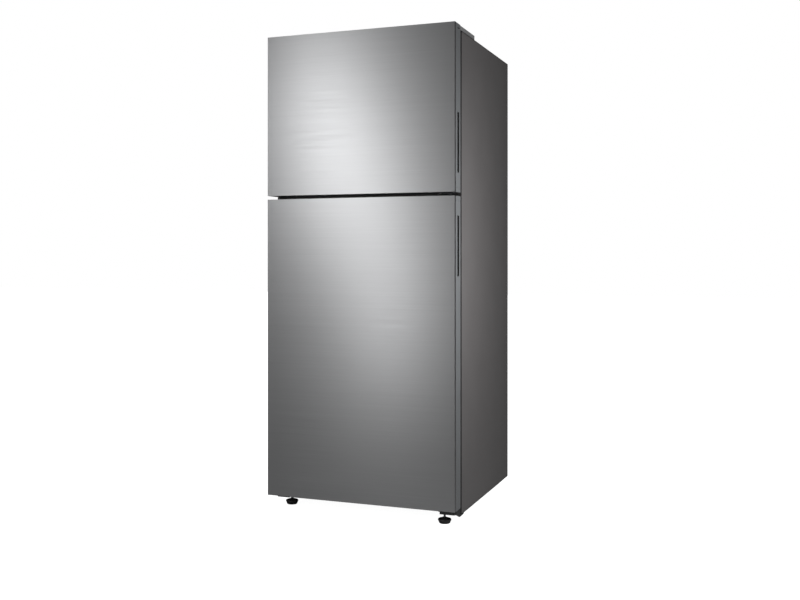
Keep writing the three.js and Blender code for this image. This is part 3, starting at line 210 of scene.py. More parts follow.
def spangled(name, color, rough):
    """Galvanised sheet with faint crystal patches."""
    mat, nodes, links, shader = new_material(name)
    place = nodes.new("ShaderNodeTexCoord")
    cells = nodes.new("ShaderNodeTexVoronoi")
    cells.inputs["Scale"].default_value = 110
    links.new(place.outputs["Object"], cells.inputs["Vector"])
    split = nodes.new("ShaderNodeSeparateColor")
    links.new(cells.outputs["Color"], split.inputs["Color"])
    grey = split.outputs["Red"]
    tone = ramp(nodes, links, grey, shade(color, -0.08), shade(color, 0.08), 0.0, 1.0)
    links.new(tone, shader.inputs["Base Color"])
    links.new(spread(nodes, links, grey, rough - 0.07, rough + 0.07), shader.inputs["Roughness"])
    shader.inputs["Metallic"].default_value = 0.85
    fine = noise(nodes, links, (1, 1, 1), 500, 2)
    bump(nodes, links, shader, fine, 0.2, 0.00004)
    return mat


def see_through(name, color, rough, weight, ior=1.45, grain=120):
    """Clear plastic or glass with a slight tint and a faint flow pattern."""
    mat, nodes, links, shader = new_material(name)
    slow = noise(nodes, links, (1, 1, 1), 14, 2)
    fine = noise(nodes, links, (1, 1, 1), grain, 2)
    links.new(ramp(nodes, links, slow, shade(color, -0.03), shade(color, 0.03)), shader.inputs["Base Color"])
    links.new(spread(nodes, links, fine, rough, rough + 0.05), shader.inputs["Roughness"])
    shader.inputs["Transmission Weight"].default_value = weight
    shader.inputs["IOR"].default_value = ior
    bump(nodes, links, shader, slow, 0.05, 0.0003)
    return mat


STEEL_FRONT = brushed("steel_front", (0.66, 0.665, 0.675), 0.37, (3, 700, 700))
TRIM = moulded("door_trim", (0.083, 0.0865, 0.09), 0.42)
# Painted shade: darker bands where the trim meets the steel front and along its rear edge stand for the
# shadow in these gaps.
painted_shade_bands(TRIM, "Y", [(FRONT + 5.5 * MM, 3 * MM), (DOOR_BACK, 7 * MM)], 0.15)
CABINET = moulded("cabinet_paint", (0.07, 0.0665, 0.0665), 0.4, grain=700, depth=0.00008, mottle=0.03)
GALVANISED = spangled("galvanised_sheet", (0.55, 0.565, 0.57), 0.42)
BLACK_STEEL = moulded("black_paint", (0.018, 0.018, 0.019), 0.42, grain=600, mottle=0.15)
HINGE_STEEL = brushed("hinge_steel", (0.16, 0.162, 0.165), 0.45, (60, 60, 900))
BLACK_PLASTIC = moulded("black_plastic", (0.022, 0.022, 0.023), 0.5, mottle=0.12)
GRIP_BLACK = moulded("grip_black", (0.008, 0.008, 0.008), 0.55, mottle=0.1)
COVER_GREY = moulded("cover_grey", (0.135, 0.135, 0.137), 0.45)
WHITE = moulded("white_liner", (0.86, 0.87, 0.875), 0.28, grain=260, depth=0.00003, mottle=0.012)
SOFT_WHITE = moulded("white_trim", (0.8, 0.81, 0.82), 0.38, mottle=0.02)
GASKET = moulded("gasket_rubber", (0.09, 0.091, 0.093), 0.6, grain=1200, mottle=0.04)
FOAM = moulded("foam", (0.78, 0.66, 0.4), 0.9, grain=420, depth=0.0006, mottle=0.08)
GLASS = see_through("shelf_glass", (0.86, 0.95, 0.92), 0.03, 1.0, 1.5)
CLEAR = see_through("clear_plastic", (0.93, 0.96, 0.98), 0.06, 0.85, 1.45)
FROSTED = see_through("frosted_plastic", (0.9, 0.94, 0.96), 0.3, 0.7, 1.45)
ALUMINIUM = brushed("fin_aluminium", (0.75, 0.76, 0.77), 0.35, (40, 40, 600))
COPPER = brushed("copper_tube", (0.72, 0.38, 0.22), 0.36, (300, 300, 30))
ZINC = brushed("zinc_screw", (0.6, 0.6, 0.61), 0.32, (500, 500, 60))
LENS = see_through("lamp_lens", (0.95, 0.95, 0.93), 0.35, 0.55, 1.45)

# ---------------------------------------------------------------- pieces


def link(name, mesh, material, body, replaces=(), slot=None):
    obj = bpy.data.objects.new(name, mesh)
    SCENE.collection.objects.link(obj)
    mesh.materials.clear()
    mesh.materials.append(material)
    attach(obj, body)
    if replaces:
        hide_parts(*replaces)
    return obj


def finish_mesh(bm, name, sharp=34):
    bmesh.ops.remove_doubles(bm, verts=bm.verts, dist=1e-7)
    bmesh.ops.recalc_face_normals(bm, faces=bm.faces)
    mesh = bpy.data.meshes.new(name)
    bm.to_mesh(mesh)
    bm.free()
    mesh.shade_smooth()
    mesh.set_sharp_from_angle(angle=math.radians(sharp))
    return mesh


def loft(rings, close_ends=True):
    """A closed surface through rings of equal length; each ring is a list of points."""
    bm = bmesh.new()
    made = [[bm.verts.new(p) for p in ring] for ring in rings]
    for a, b in zip(made, made[1:]):
        for i in range(len(a)):
            j = (i + 1) % len(a)
            bm.faces.new((a[i], a[j], b[j], b[i]))
    if close_ends:
        bm.faces.new(list(reversed(made[0])))
        bm.faces.new(made[-1])
    return bm


def looped(rings):
    """As loft, but the last ring joins the first."""
    return loft([*rings, rings[0]], close_ends=False)


def arc(cx, cy, radius, start, end, steps):
    turn = [start + (end - start) * i / steps for i in range(steps + 1)]
    return [(cx + radius * math.cos(t), cy + radius * math.sin(t)) for t in turn]


def rounded(x0, x1, y0, y1, radius, steps=4):
    """A rectangle with round corners, anticlockwise from the lower right."""
    r = max(min(radius, (x1 - x0) / 2 - 1e-6, (y1 - y0) / 2 - 1e-6), 1e-6)
    q = math.pi / 2
    return (
        arc(x1 - r, y0 + r, r, -q, 0, steps)
        + arc(x1 - r, y1 - r, r, 0, q, steps)
        + arc(x0 + r, y1 - r, r, q, 2 * q, steps)
        + arc(x0 + r, y0 + r, r, 2 * q, 3 * q, steps)
    )


def soft_box(name, low, high, edge, material, body, corner=None, axis=2, **more):
    """A block built in rings along axis, its long edges rounded by corner and its ends by edge."""
    a, b, c = {0: (1, 2, 0), 1: (0, 2, 1), 2: (0, 1, 2)}[axis]
    corner = corner or edge
    rings = []
    steps = 3
    levels = []
    for i in range(steps + 1):
        t = math.pi / 2 * i / steps
        levels.append((edge * (1 - math.sin(t)), low[c] + edge * (1 - math.cos(t))))
    for i in range(steps + 1):
        t = math.pi / 2 * (1 - i / steps)
        levels.append((edge * (1 - math.sin(t)), high[c] - edge * (1 - math.cos(t))))
    for inset, level in levels:
        ring = []
        sides = (low[a] + inset, high[a] - inset, low[b] + inset, high[b] - inset)
        for u, v in rounded(*sides, corner - inset * 0.5):
            p = [0, 0, 0]
            p[a], p[b], p[c] = u, v, level
            ring.append(p)
        rings.append(ring)
    return link(name, finish_mesh(loft(rings), name), material, body, **more)


def circle(radius, height, sides):
    turn = [2 * math.pi * i / sides for i in range(sides)]
    return [(radius * math.cos(t), radius * math.sin(t), height) for t in turn]


def stand(mesh, axis, place):
    """Turn a mesh made along Z so that it points along axis, and move it to its place."""
    turns = {
        "Z": lambda x, y, z: (x, y, z),
        "-Z": lambda x, y, z: (x, -y, -z),
        "Y": lambda x, y, z: (x, z, -y),
        "-Y": lambda x, y, z: (x, -z, y),
    }
    for v in mesh.vertices:
        x, y, z = turns[axis](*v.co)
        v.co = (x + place[0], y + place[1], z + place[2])


def turned(name, profile, place, material, body, axis="Z", sides=32, **more):
    """A profile of (radius, height) points turned about Z, then stood along axis."""
    rings = [circle(max(r, 1e-5), z, sides) for r, z in profile]
    mesh = finish_mesh(loft(rings), name)
    stand(mesh, axis, place)
    return link(name, mesh, material, body, **more)


def screw(name, place, radius, body, axis):
    """A pan head with a cross recess, standing out along axis."""
    sides = 24
    height = radius * 0.55
    profile = [(1.0, 0.0), (1.0, 0.35), (0.9, 0.7), (0.68, 0.95), (0.58, 1.0)]
    rings = [circle(radius * r, height * h, sides) for r, h in profile]
    cross = []
    for i in range(sides):
        reach = {0: 0.5, 3: 0.2}.get(i % 6, 0.3)
        angle = 2 * math.pi * i / sides
        cross.append((radius * reach * math.cos(angle), radius * reach * math.sin(angle)))
    rings.append([(x, y, height) for x, y in cross])
    rings.append([(x * 0.7, y * 0.7, height * 0.35) for x, y in cross])
    mesh = finish_mesh(loft(rings), name, 28)
    stand(mesh, axis, place)
    return link(name, mesh, ZINC, body)


def strip(points, radii, thickness, steps=5):
    """Outline of a folded sheet: a middle line of (x, y) points with a fold radius at each inner point."""
    line = []
    for i, p in enumerate(points):
        if i in (0, len(points) - 1):
            line.append(Vector(p))
            continue
        before = (Vector(points[i - 1]) - Vector(p)).normalized()
        after = (Vector(points[i + 1]) - Vector(p)).normalized()
        r = radii[i - 1]
        reach = r / math.tan(before.angle(after) / 2)
        centre = Vector(p) + (before + after).normalized() * (r / math.sin(before.angle(after) / 2))
        start, end = Vector(p) + before * reach, Vector(p) + after * reach
        a0 = math.atan2(start.y - centre.y, start.x - centre.x)
        a1 = math.atan2(end.y - centre.y, end.x - centre.x)
        while a1 - a0 > math.pi:
            a1 -= 2 * math.pi
        while a0 - a1 > math.pi:
            a1 += 2 * math.pi
        for k in range(steps + 1):
            t = a0 + (a1 - a0) * k / steps
            line.append(centre + Vector((math.cos(t), math.sin(t))) * r)
    left, right = [], []
    for i, p in enumerate(line):
        ahead = (line[min(i + 1, len(line) - 1)] - line[max(i - 1, 0)]).normalized()
        normal = Vector((-ahead.y, ahead.x))
        left.append(p + normal * thickness / 2)
        right.append(p - normal * thickness / 2)
    return [tuple(p) for p in left] + [tuple(p) for p in reversed(right)]


def folded_sheet(name, points, radii, thickness, z0, z1, material, body, **more):
    """A folded sheet standing upright from z0 to z1, with its ends closed by strips."""
    outline = strip(points, radii, thickness)
    count = len(outline) // 2
    bm = bmesh.new()
    low = [bm.verts.new((x, y, z0)) for x, y in outline]
    high = [bm.verts.new((x, y, z1)) for x, y in outline]
    n = len(outline)
    for i in range(n):
        j = (i + 1) % n
        bm.faces.new((low[i], low[j], high[j], high[i]))
    for i in range(count - 1):
        a, b, c, d = i, i + 1, n - 2 - i, n - 1 - i
        bm.faces.new((low[d], low[c], low[b], low[a]))
        bm.faces.new((high[a], high[b], high[c], high[d]))
    return link(name, finish_mesh(bm, name), material, body, **more)


def smooth_by_angle():
    """Smooth faces, with every edge sharper than the limit left sharp."""
    group = bpy.data.node_groups.new("smooth_by_angle", "GeometryNodeTree")
    group.interface.new_socket("Geometry", in_out="INPUT", socket_type="NodeSocketGeometry")
    group.interface.new_socket("Geometry", in_out="OUTPUT", socket_type="NodeSocketGeometry")
    nodes, links = group.nodes, group.links
    start, end = nodes.new("NodeGroupInput"), nodes.new("NodeGroupOutput")
    faces = nodes.new("GeometryNodeSetShadeSmooth")
    edges = nodes.new("GeometryNodeSetShadeSmooth")
    edges.domain = "EDGE"
    edges.inputs["Shade Smooth"].default_value = False
    angle = nodes.new("GeometryNodeInputMeshEdgeAngle")
    limit = nodes.new("FunctionNodeCompare")
    limit.operation = "GREATER_THAN"
    limit.inputs["B"].default_value = math.radians(38)
    links.new(start.outputs[0], faces.inputs["Geometry"])
    links.new(faces.outputs[0], edges.inputs["Geometry"])
    links.new(angle.outputs["Unsigned Angle"], limit.inputs["A"])
    links.new(limit.outputs["Result"], edges.inputs["Selection"])
    links.new(edges.outputs[0], end.inputs[0])
    return group


SMOOTH = smooth_by_angle()


def dress(node, material, radius=0.0006, segments=2, join=True):
    """Give a CAD mesh its material and rounded edges. Faces that have holes in them stay unjoined."""
    obj = NODES[node]
    obj.data.materials.clear()
    obj.data.materials.append(material)
    weld = obj.modifiers.new("weld", "WELD")
    weld.merge_threshold = 0.00001
    if join:
        flat = obj.modifiers.new("join", "DECIMATE")
        flat.decimate_type = "DISSOLVE"
        flat.angle_limit = math.radians(1)
    if radius:
        edge = obj.modifiers.new("edge", "BEVEL")
        edge.width = radius
        edge.segments = segments
        edge.limit_method = "ANGLE"
        edge.angle_limit = math.radians(40)
        edge.use_clamp_overlap = True
        edge.miter_outer = "MITER_ARC"
    smooth = obj.modifiers.new("smooth", "NODES")
    smooth.node_group = SMOOTH
    normals = obj.modifiers.new("normals", "WEIGHTED_NORMAL")
    normals.keep_sharp = True


# ---------------------------------------------------------------- cabinet

for node in ("top_panel", "center_rail"):
    dress(node, CABINET, 0.0004)
dress("base_panel", GALVANISED, 0.0003)
dress("rear_cover", GALVANISED, 0.0003, join=False)
# Painted shade: darker bands along the cabinet's rear edge, its front flange and its top and bottom edges
# stand for the shade at its folds and in the gaps round the doors; the top panel and centre rail share it.
painted_shade_bands(CABINET, "Y", [(BACK, 11 * MM)])
painted_shade_bands(CABINET, "Y", [(CABINET_FRONT, 1.8 * MM)], 0.3)
painted_shade_bands(CABINET, "Z", [(CABINET_TOP, 3.5 * MM), (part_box("side_panel_right")[0].z, 3.5 * MM)])
SHEET = 0.001
for sign, word in ((1, "right"), (-1, "left")):
    low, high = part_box(f"side_panel_{word}")
    inner = abs(low.x if sign > 0 else high.x)
    half = SHEET / 2
    line = [
        (sign * inner, CABINET_FRONT + half),
        (sign * (SIDE - half), CABINET_FRONT + half),
        (sign * (SIDE - half), BACK - half),
        (sign * (SIDE - 0.015), BACK - half),
    ]
    folded_sheet(f"cabinet_side_{word}", line, [0.0025, 0.0015], SHEET, low.z, high.z, CABINET, "cabinet",
                 replaces=[f"side_panel_{word}"], slot="cabinet_paint")


def back_sheet():
    """The back sheet with four pressed stiffening panels."""
    low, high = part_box("back_panel")
    columns, rows = 56, 112
    panels = [
        (-0.30, -0.02, 0.32, 0.92),
        (0.02, 0.30, 0.32, 0.92),
        (-0.30, -0.02, 0.98, 1.60),
        (0.02, 0.30, 0.98, 1.60),
    ]
    slope, rise = 0.012, 0.001
    bm = bmesh.new()

    def lift(x, z):
        best = 0.0
        for x0, x1, z0, z1 in panels:
            inside = min(x - x0, x1 - x, z - z0, z1 - z)
            best = max(best, min(1.0, inside / slope))
        return best * best * (3 - 2 * best) * rise

    def grid(offset, flip):
        made = []
        for j in range(rows + 1):
            z = low.z + (high.z - low.z) * j / rows
            across = [low.x + (high.x - low.x) * i / columns for i in range(columns + 1)]
            made.append([bm.verts.new((x, offset + lift(x, z), z)) for x in across])
        for j in range(rows):
            for i in range(columns):
                face = (made[j][i], made[j][i + 1], made[j + 1][i + 1], made[j + 1][i])
                bm.faces.new(tuple(reversed(face)) if flip else face)
        return made

    outer, inner = grid(high.y, True), grid(low.y, False)
    edge = [(0, i) for i in range(columns)] + [(j, columns) for j in range(rows)]
    edge += [(rows, i) for i in range(columns, 0, -1)] + [(j, 0) for j in range(rows, 0, -1)]
    for (j0, i0), (j1, i1) in zip(edge, edge[1:] + edge[:1]):
        bm.faces.new((outer[j0][i0], outer[j1][i1], inner[j1][i1], inner[j0][i0]))
    return link("back_sheet", finish_mesh(bm, "back_sheet", 60), GALVANISED, "cabinet",
                replaces=["back_panel"], slot="galvanised")


back_sheet()
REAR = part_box("back_panel")[1].y
FOAM_PLUG = [(0, 0), (0.011, 0), (0.011, 0.0006), (0.009, 0.001), (0.004, 0.0007), (0, 0.0007)]
FOAM_PLUG_PLACES = [(-0.2, 0.945), (0.2, 0.945), (0.0, 0.45), (0.0, 1.3)]
for i, (x, z) in enumerate(FOAM_PLUG_PLACES):
    turned(f"foam_plug_{i}", FOAM_PLUG, (x, REAR, z), SOFT_WHITE, "cabinet", axis="Y", sides=24)

# ---------------------------------------------------------------- doors

DOORS = {
    "freezer_door": ("freezer_bin_lower", "freezer_bin_upper"),
    "fridge_door": ("door_bin_lower", "door_bin_middle", "door_bin_upper"),
}
GRIP_LENGTH = 206 * MM
GRIP_INSET = 66 * MM
STEEL_SHEET = 0.7 * MM
STEEL_RETURN = 3.5 * MM


def gasket(door):
    """The soft door seal: a bellows section run round the door."""
    low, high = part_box(f"{door}_gasket")
    width, deep = 18 * MM, high.y - low.y
    profile = [
        (0.06, 1.0), (0.94, 1.0), (1.0, 0.93), (1.0, 0.7), (0.9, 0.6), (0.74, 0.56), (0.72, 0.49),
        (0.86, 0.42), (0.93, 0.34), (0.9, 0.22), (0.74, 0.16), (0.68, 0.0), (0.32, 0.0), (0.26, 0.16),
        (0.1, 0.22), (0.07, 0.34), (0.14, 0.42), (0.28, 0.49), (0.26, 0.56), (0.1, 0.6), (0.0, 0.7),
        (0.0, 0.93),
    ]
    rings = []
    for u, v in profile:
        inset = u * width
        outline = rounded(low.x + inset, high.x - inset, low.z + inset, high.z - inset, 0.022 - inset, 5)
        rings.append([(x, low.y + v * deep, z) for x, z in outline])
    name = f"{door}_seal"
    return link(name, finish_mesh(looped(rings), name, 50), GASKET, door,
                replaces=[f"{door}_gasket"], slot="gasket")


def grip_shade_lining(door, sign, low_z):
    """Near-black lining of the grip pocket, open to the side of the door; it paints the pocket's shade black.
    """
    wall = 0.6 * MM
    lip = 4 * MM
    y0, y1 = FRONT + 24.3 * MM, FRONT + 51.7 * MM
    z0, z1 = low_z - 3.7 * MM, low_z + GRIP_LENGTH + 3.7 * MM
    deep, shoulder, mouth = SIDE - 26.7 * MM, SIDE - 3.3 * MM, SIDE - 0.15 * MM
    outer = [(mouth, lip), (shoulder + 0.1 * MM, lip), (shoulder - 0.1 * MM, 0), (deep + 4 * MM, 0)]
    outer += [(deep + 1 * MM, 1 * MM), (deep, 4 * MM)]
    inner = [(deep + wall, 4 * MM), (deep + 1 * MM + wall, 1 * MM), (deep + 4 * MM, 0)]
    inner += [(shoulder - 0.1 * MM - wall, 0), (shoulder - 0.1 * MM, lip), (mouth, lip)]
    rings = []
    for thick, steps in ((0, outer), (wall, inner)):
        for x, inset in steps:
            d = inset + thick
            outline = rounded(y0 + d, y1 - d, z0 + d, z1 - d, 4 * MM - thick)
            rings.append([(sign * x, y, z) for y, z in outline])
    word = "right" if sign > 0 else "left"
    name = f"{door}_grip_{word}"
    return link(name, finish_mesh(looped(rings), name, 40), GRIP_BLACK, door, slot="black_plastic")


for door in DOORS:
    low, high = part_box(f"{door}_skin")
    half = STEEL_SHEET / 2
    edge = SIDE - half
    line = [
        (-edge, FRONT + STEEL_RETURN),
        (-edge, FRONT + half),
        (edge, FRONT + half),
        (edge, FRONT + STEEL_RETURN),
    ]
    folded_sheet(f"{door}_front", line, [1.45 * MM, 1.45 * MM], STEEL_SHEET, low.z, high.z, STEEL_FRONT, door,
                 replaces=[f"{door}_skin"], slot="steel_front")
    dress(f"{door}_trim_left", TRIM, 0.0005)
    dress(f"{door}_trim_right", TRIM, 0.0005)
    dress(f"{door}_cap_top", TRIM, 0.0006)
    dress(f"{door}_cap_bottom", TRIM, 0.0006)
    dress(f"{door}_insulation", FOAM, 0.0)
    dress(f"{door}_liner", WHITE, 0.0016, 3)
    gasket(door)
    at_bottom = door == "freezer_door"
    grip_low = low.z + GRIP_INSET if at_bottom else high.z - GRIP_INSET - GRIP_LENGTH
    for sign in (-1, 1):
        grip_shade_lining(door, sign, grip_low)

# Plug in the unused pin hole under the left end of the lower door.
PIN_PLUG = [(0, 0), (0.0112, 0), (0.0112, 0.0022), (0.0102, 0.0033), (0.004, 0.0033), (0, 0.0029)]
turned("pin_hole_plug", PIN_PLUG, (-PIN_X, PIN_Y, DOOR_BOTTOM + 0.0002), BLACK_PLASTIC, "fridge_door",
       axis="-Z", sides=28)

# ---------------------------------------------------------------- hinges

dress("top_hinge", BLACK_STEEL, 0.0005)
dress("middle_hinge", HINGE_STEEL, 0.0006)
dress("bottom_hinge", BLACK_STEEL, 0.0006)
dress("top_hinge_cover", COVER_GREY, 0.0012, 3)
bracket_low, bracket_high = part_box("bottom_hinge")
# The bracket's dark rim follows its front edge round the corner and back to the cabinet; its black height
# also paints the shade under the door.
foot_x = (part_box("front_foot_right")[0].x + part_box("front_foot_right")[1].x) / 2
rim = 1.5 * MM
rim_and_shade_line = [
    (foot_x - 12 * MM + rim, bracket_low.y + rim),
    (SIDE - 12 * MM - rim / 2, bracket_low.y + rim),
    (SIDE - 4 * MM - rim, bracket_low.y + 8 * MM + rim / 2),
    (SIDE - 4 * MM - rim, CABINET_FRONT - 14 * MM),
]
rim_and_shade_low, rim_and_shade_high = DOOR_BOTTOM - 16.4 * MM, DOOR_BOTTOM - 4.6 * MM
folded_sheet("bracket_rim_and_shade", rim_and_shade_line, [3 * MM, 3 * MM], 2.9 * MM, rim_and_shade_low, rim_and_shade_high,
             BLACK_STEEL, "cabinet", slot="black_steel")
cover_low, cover_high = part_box("top_hinge_cover")
COVER_PLUG = [(0, 0), (0.0065, 0), (0.0065, 0.0003), (0.0058, 0.0006), (0.002, 0.0003), (0, 0.0003)]
plug_place = ((cover_low.x + cover_high.x) / 2, cover_high.y - 0.03, cover_high.z - 0.0006)
turned("hinge_cover_plug", COVER_PLUG, plug_place, BLACK_PLASTIC, "cabinet", sides=24)
SCREW_FACE = CABINET_FRONT - 0.0033
middle_low, middle_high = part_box("middle_hinge")
for i, x in enumerate((SIDE - 0.075, SIDE - 0.034)):
    for j, z in enumerate((middle_low.z + 0.0065, middle_high.z - 0.0065)):
        screw(f"middle_hinge_screw_{i}{j}", (x, SCREW_FACE, z), 0.0042, "cabinet", "-Y")
for i, x in enumerate((SIDE - 0.09, SIDE - 0.062, SIDE - 0.032)):
    screw(f"bottom_hinge_screw_{i}", (x, SCREW_FACE, bracket_high.z - 0.011), 0.0052, "cabinet", "-Y")

# ---------------------------------------------------------------- feet and rollers


def foot(word, body):
    """A screw foot: a ribbed pad, a hexagon nut and a threaded stud."""
    low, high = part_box(f"front_foot_{word}")
    cx, cy = (low.x + high.x) / 2, (low.y + high.y) / 2
    sides = 48
    profile = [
        (0.0, 0.0), (16.0, 0.0), (17.6, 0.4), (18.6, 1.6), (21.6, 9.0), (22.4, 10.4),
        (22.9, 11.2), (22.9, 13.6), (22.2, 15.0), (20.6, 15.9), (12.0, 16.0), (9.6, 16.1),
    ]
    rings = []
    for r, z in profile:
        ribbed = 10.4 <= z <= 13.6
        ring = []
        for i in range(sides):
            t = 2 * math.pi * i / sides
            q = r - (0.5 if ribbed and i % 4 == 0 else 0)
            ring.append((cx + q * MM * math.cos(t), cy + q * MM * math.sin(t), z * MM))
        rings.append(ring)
    link(f"foot_pad_{word}", finish_mesh(loft(rings), f"foot_pad_{word}", 30), BLACK_PLASTIC, body,
         replaces=[f"front_foot_{word}"], slot="black_plastic")
    nut = []
    for z, scale in ((16.0, 0.97), (16.4, 1.0), (20.3, 1.0), (20.8, 0.94)):
        hexagon = circle(8.6 * scale * MM, z * MM, 6)
        nut.append([(cx + x, cy + y, level) for x, y, level in hexagon])
    link(f"foot_nut_{word}", finish_mesh(loft(nut), f"foot_nut_{word}", 30), BLACK_STEEL, body,
         slot="black_plastic")
    pitch, root, crest = 1.25, 3.4, 3.95
    z = 20.5
    thread = [(0.0, z)]
    while z < 47.0:
        thread += [(root, z), (crest, z + 0.5), (crest, z + 0.75), (root, z + 1.2)]
        z += pitch
    thread += [(3.2, 47.6), (2.6, 48.0), (0.0, 48.0)]
    turned(f"foot_stud_{word}", [(r * MM, h * MM) for r, h in thread], (cx, cy, 0), ZINC, body, sides=20)


foot("left", "foot_left")
foot("right", "foot_right")
dress("rear_roller_left", BLACK_PLASTIC, 0.0012, 3)
dress("rear_roller_right", BLACK_PLASTIC, 0.0012, 3)

# ---------------------------------------------------------------- machine space and back

dress("machine_deck", BLACK_STEEL, 0.0003)
dress("compressor", BLACK_STEEL, 0.0)
dress("condenser_coil", COPPER, 0.0)
dress("drain_pan", BLACK_PLASTIC, 0.0005)
dress("cabinet_insulation", FOAM, 0.0)
vent_low, vent_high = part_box("rear_cover")
for i, x in enumerate((-0.335, -0.17, 0.17, 0.335)):
    for j, z in enumerate((vent_low.z + 0.009, vent_high.z - 0.009)):
        screw(f"rear_cover_screw_{i}{j}", (x, vent_high.y - 0.0016, z), 0.0048, "cabinet", "Y")
BUSHING = [(0.0051, 0), (0.0105, 0), (0.0105, 0.0007), (0.0095, 0.0012), (0.0062, 0.0012), (0.0051, 0.0008)]
turned("cord_bushing", BUSHING, (0, vent_high.y, vent_low.z + 0.016), BLACK_PLASTIC, "cabinet",
       axis="Y", sides=28)

# ---------------------------------------------------------------- inside

dress("fresh_food_liner", WHITE, 0.0008, 3, join=False)
dress("freezer_liner", WHITE, 0.0008, 3, join=False)
dress("evaporator_cover", SOFT_WHITE, 0.0005, join=False)
dress("evaporator_coil", ALUMINIUM, 0.0)
dress("evaporator_fan_motor", BLACK_PLASTIC, 0.0005)
dress("evaporator_fan_blade", BLACK_PLASTIC, 0.0003)
dress("air_duct_cover", SOFT_WHITE, 0.0005, join=False)
dress("control_housing", SOFT_WHITE, 0.001, 3)
dress("ice_maker_frame", SOFT_WHITE, 0.0005, join=False)
dress("ice_tray", FROSTED, 0.0005, join=False)
dress("ice_bin", CLEAR, 0.0006)
for node in ("crisper_left", "crisper_right"):
    dress(node, CLEAR, 0.0008, 3)
for bins in DOORS.values():
    for node in bins:
        dress(node, CLEAR, 0.0007, 3)
dress("freezer_button", TRIM, 0.0006)
dress("fridge_button", TRIM, 0.0006)


def rail(name, low, high, edge, corner, axis):
    """A white strip on the cabinet's inside, run along axis."""
    soft_box(name, low, high, edge, SOFT_WHITE, "cabinet", corner=corner, axis=axis, slot="white_liner")


def shelf(node):
    """Glass plate held in a moulded front rail and a slim rear rail, with side strips."""
    low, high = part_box(node)
    z0 = high.z - 0.012 if node == "crisper_cover" else low.z + 0.003
    z1 = z0 + 0.004
    glass_low = (low.x + 0.003, low.y + 0.006, z0 + 0.0002)
    glass_high = (high.x - 0.003, high.y - 0.003, z1)
    soft_box(f"{node}_glass", glass_low, glass_high, 0.0006, GLASS, "cabinet", corner=0.004, axis=2,
             replaces=[node], slot="shelf_glass")
    rail(f"{node}_front_rail", (low.x, low.y, z0 - 0.0028), (high.x, low.y + 0.0055, z1 + 0.0018),
         0.0012, 0.002, 0)
    rail(f"{node}_rear_rail", (low.x, high.y - 0.0025, z0), (high.x, high.y, z1 + 0.0078), 0.0008, 0.001, 0)
    for sign, word in ((-1, "l"), (1, "r")):
        x0, x1 = sorted((sign * high.x, sign * (high.x - 0.0027)))
        rail(f"{node}_side_rail_{word}", (x0, low.y + 0.006, z0 - 0.0002), (x1, high.y - 0.003, z1 + 0.0008),
             0.0006, 0.0008, 1)


for node in ("shelf_upper", "shelf_middle", "freezer_shelf", "crisper_cover"):
    shelf(node)
divider_low, divider_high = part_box("crisper_cover")
rail("crisper_divider", (-0.003, divider_low.y + 0.006, divider_low.z),
     (0.003, 0.095, divider_high.z - 0.0122), 0.001, 0.001, 1)

# Lamp lens under the control housing.
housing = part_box("control_housing")[0]
lens_low = (-0.075, housing.y + 0.045, housing.z - 0.0004)
lens_high = (0.075, housing.y + 0.115, housing.z + 0.001)
soft_box("lamp_lens", lens_low, lens_high, 0.0006, LENS, "cabinet", corner=0.012, axis=2)

# ---------------------------------------------------------------- studio

REACH = 20
FLOOR_GLOW = 0.96
FLOOR_MIRRORED = 0.16
WORLD_SEEN = 1.0
WORLD_MIRRORED = 0.074
WORLD_LIGHT = 0.475

# The floor is white to the camera, lights the object as a pale floor does, and looks dark in reflections.
floor_mesh = bpy.data.meshes.new("floor")
corners = [(-REACH, -REACH, 0), (REACH, -REACH, 0), (REACH, REACH, 0), (-REACH, REACH, 0)]
floor_mesh.from_pydata(corners, [], [(0, 1, 2, 3)])
floor = bpy.data.objects.new("floor", floor_mesh)
SCENE.collection.objects.link(floor)
floor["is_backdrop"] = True
floor_mat, nodes, links, shader = new_material("floor")
shader.inputs["Base Color"].default_value = (0.92, 0.92, 0.92, 1)
shader.inputs["Roughness"].default_value = 0.9
shader.inputs["Specular IOR Level"].default_value = 0.0
path = nodes.new("ShaderNodeLightPath")
glow = nodes.new("ShaderNodeEmission")
glow.inputs["Color"].default_value = (1, 1, 1, 1)
glow.inputs["Strength"].default_value = FLOOR_GLOW
dark = nodes.new("ShaderNodeBsdfDiffuse")
dark.inputs["Color"].default_value = (FLOOR_MIRRORED, FLOOR_MIRRORED, FLOOR_MIRRORED, 1)
lit = nodes.new("ShaderNodeAddShader")
unseen = nodes.new("ShaderNodeMixShader")
choose = nodes.new("ShaderNodeMixShader")
links.new(shader.outputs[0], lit.inputs[0])
links.new(glow.outputs[0], lit.inputs[1])
links.new(path.outputs["Is Glossy Ray"], unseen.inputs["Fac"])
links.new(shader.outputs[0], unseen.inputs[1])
links.new(dark.outputs[0], unseen.inputs[2])
links.new(path.outputs["Is Camera Ray"], choose.inputs["Fac"])
links.new(unseen.outputs[0], choose.inputs[1])
links.new(lit.outputs[0], choose.inputs[2])
links.new(choose.outputs[0], nodes["Material Output"].inputs["Surface"])
floor_mesh.materials.append(floor_mat)

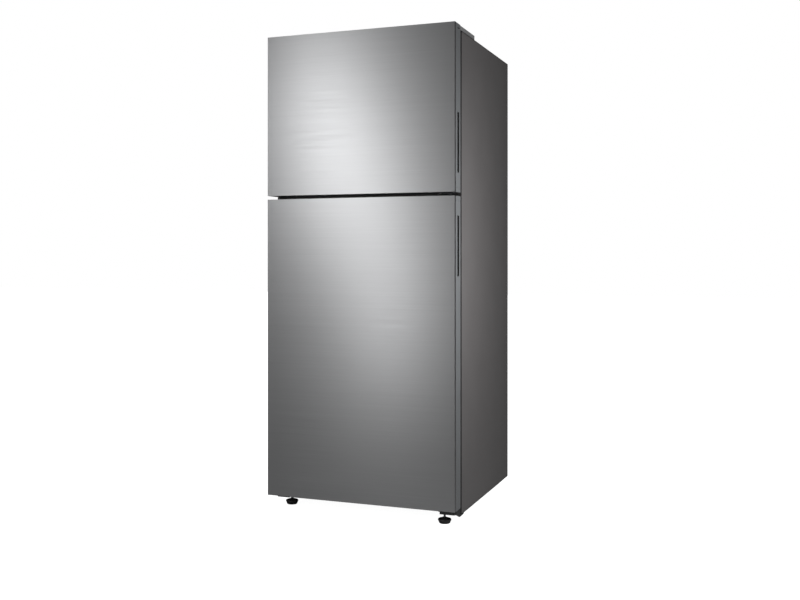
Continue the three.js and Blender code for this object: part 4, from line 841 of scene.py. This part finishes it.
world = bpy.data.worlds.new("studio")
SCENE.world = world
world.use_nodes = True
nodes, links = world.node_tree.nodes, world.node_tree.links
back = nodes["Background"]
path = nodes.new("ShaderNodeLightPath")
seen = nodes.new("ShaderNodeBackground")
seen.inputs["Color"].default_value = (1, 1, 1, 1)
seen.inputs["Strength"].default_value = WORLD_SEEN
mirrored = nodes.new("ShaderNodeBackground")
mirrored.inputs["Color"].default_value = (1, 1, 1, 1)
mirrored.inputs["Strength"].default_value = WORLD_MIRRORED
back.inputs["Color"].default_value = (1, 1, 1, 1)
back.inputs["Strength"].default_value = WORLD_LIGHT
first = nodes.new("ShaderNodeMixShader")
second = nodes.new("ShaderNodeMixShader")
links.new(path.outputs["Is Glossy Ray"], first.inputs["Fac"])
links.new(back.outputs[0], first.inputs[1])
links.new(mirrored.outputs[0], first.inputs[2])
links.new(path.outputs["Is Camera Ray"], second.inputs["Fac"])
links.new(first.outputs[0], second.inputs[1])
links.new(seen.outputs[0], second.inputs[2])
links.new(second.outputs[0], nodes["World Output"].inputs["Surface"])


def softbox(name, place, target, width, height, power):
    data = bpy.data.lights.new(name, "AREA")
    data.shape = "RECTANGLE"
    data.size = width
    data.size_y = height
    data.energy = power
    obj = bpy.data.objects.new(name, data)
    SCENE.collection.objects.link(obj)
    obj.location = place
    obj.rotation_mode = "QUATERNION"
    obj.rotation_quaternion = (Vector(target) - Vector(place)).to_track_quat("-Z", "Y")
    return obj


# Four front panels in a slanting row, whose soft reflection runs down the steel from the upper left.
AIM = (0, FRONT, 0.9)
softbox("front_high", (-1.8, -3.6, 1.9), AIM, 0.6, 0.9, 7.8)
softbox("front_middle", (-1.35, -3.6, 1.4), AIM, 0.6, 0.9, 4.3)
softbox("front_low", (-0.95, -3.6, 0.95), AIM, 0.4, 1.3, 3.3)
softbox("front_foot", (-0.8, -3.6, 0.5), AIM, 0.4, 0.6, 2.1)
side_light = softbox("right_side", (1.0, -0.6, 0.95), (SIDE, -0.1, 0.95), 0.4, 0.6, 16.5)
side_light.visible_glossy = False

SCENE.view_settings.view_transform = "Standard"
SCENE.view_settings.look = "None"

low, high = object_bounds()
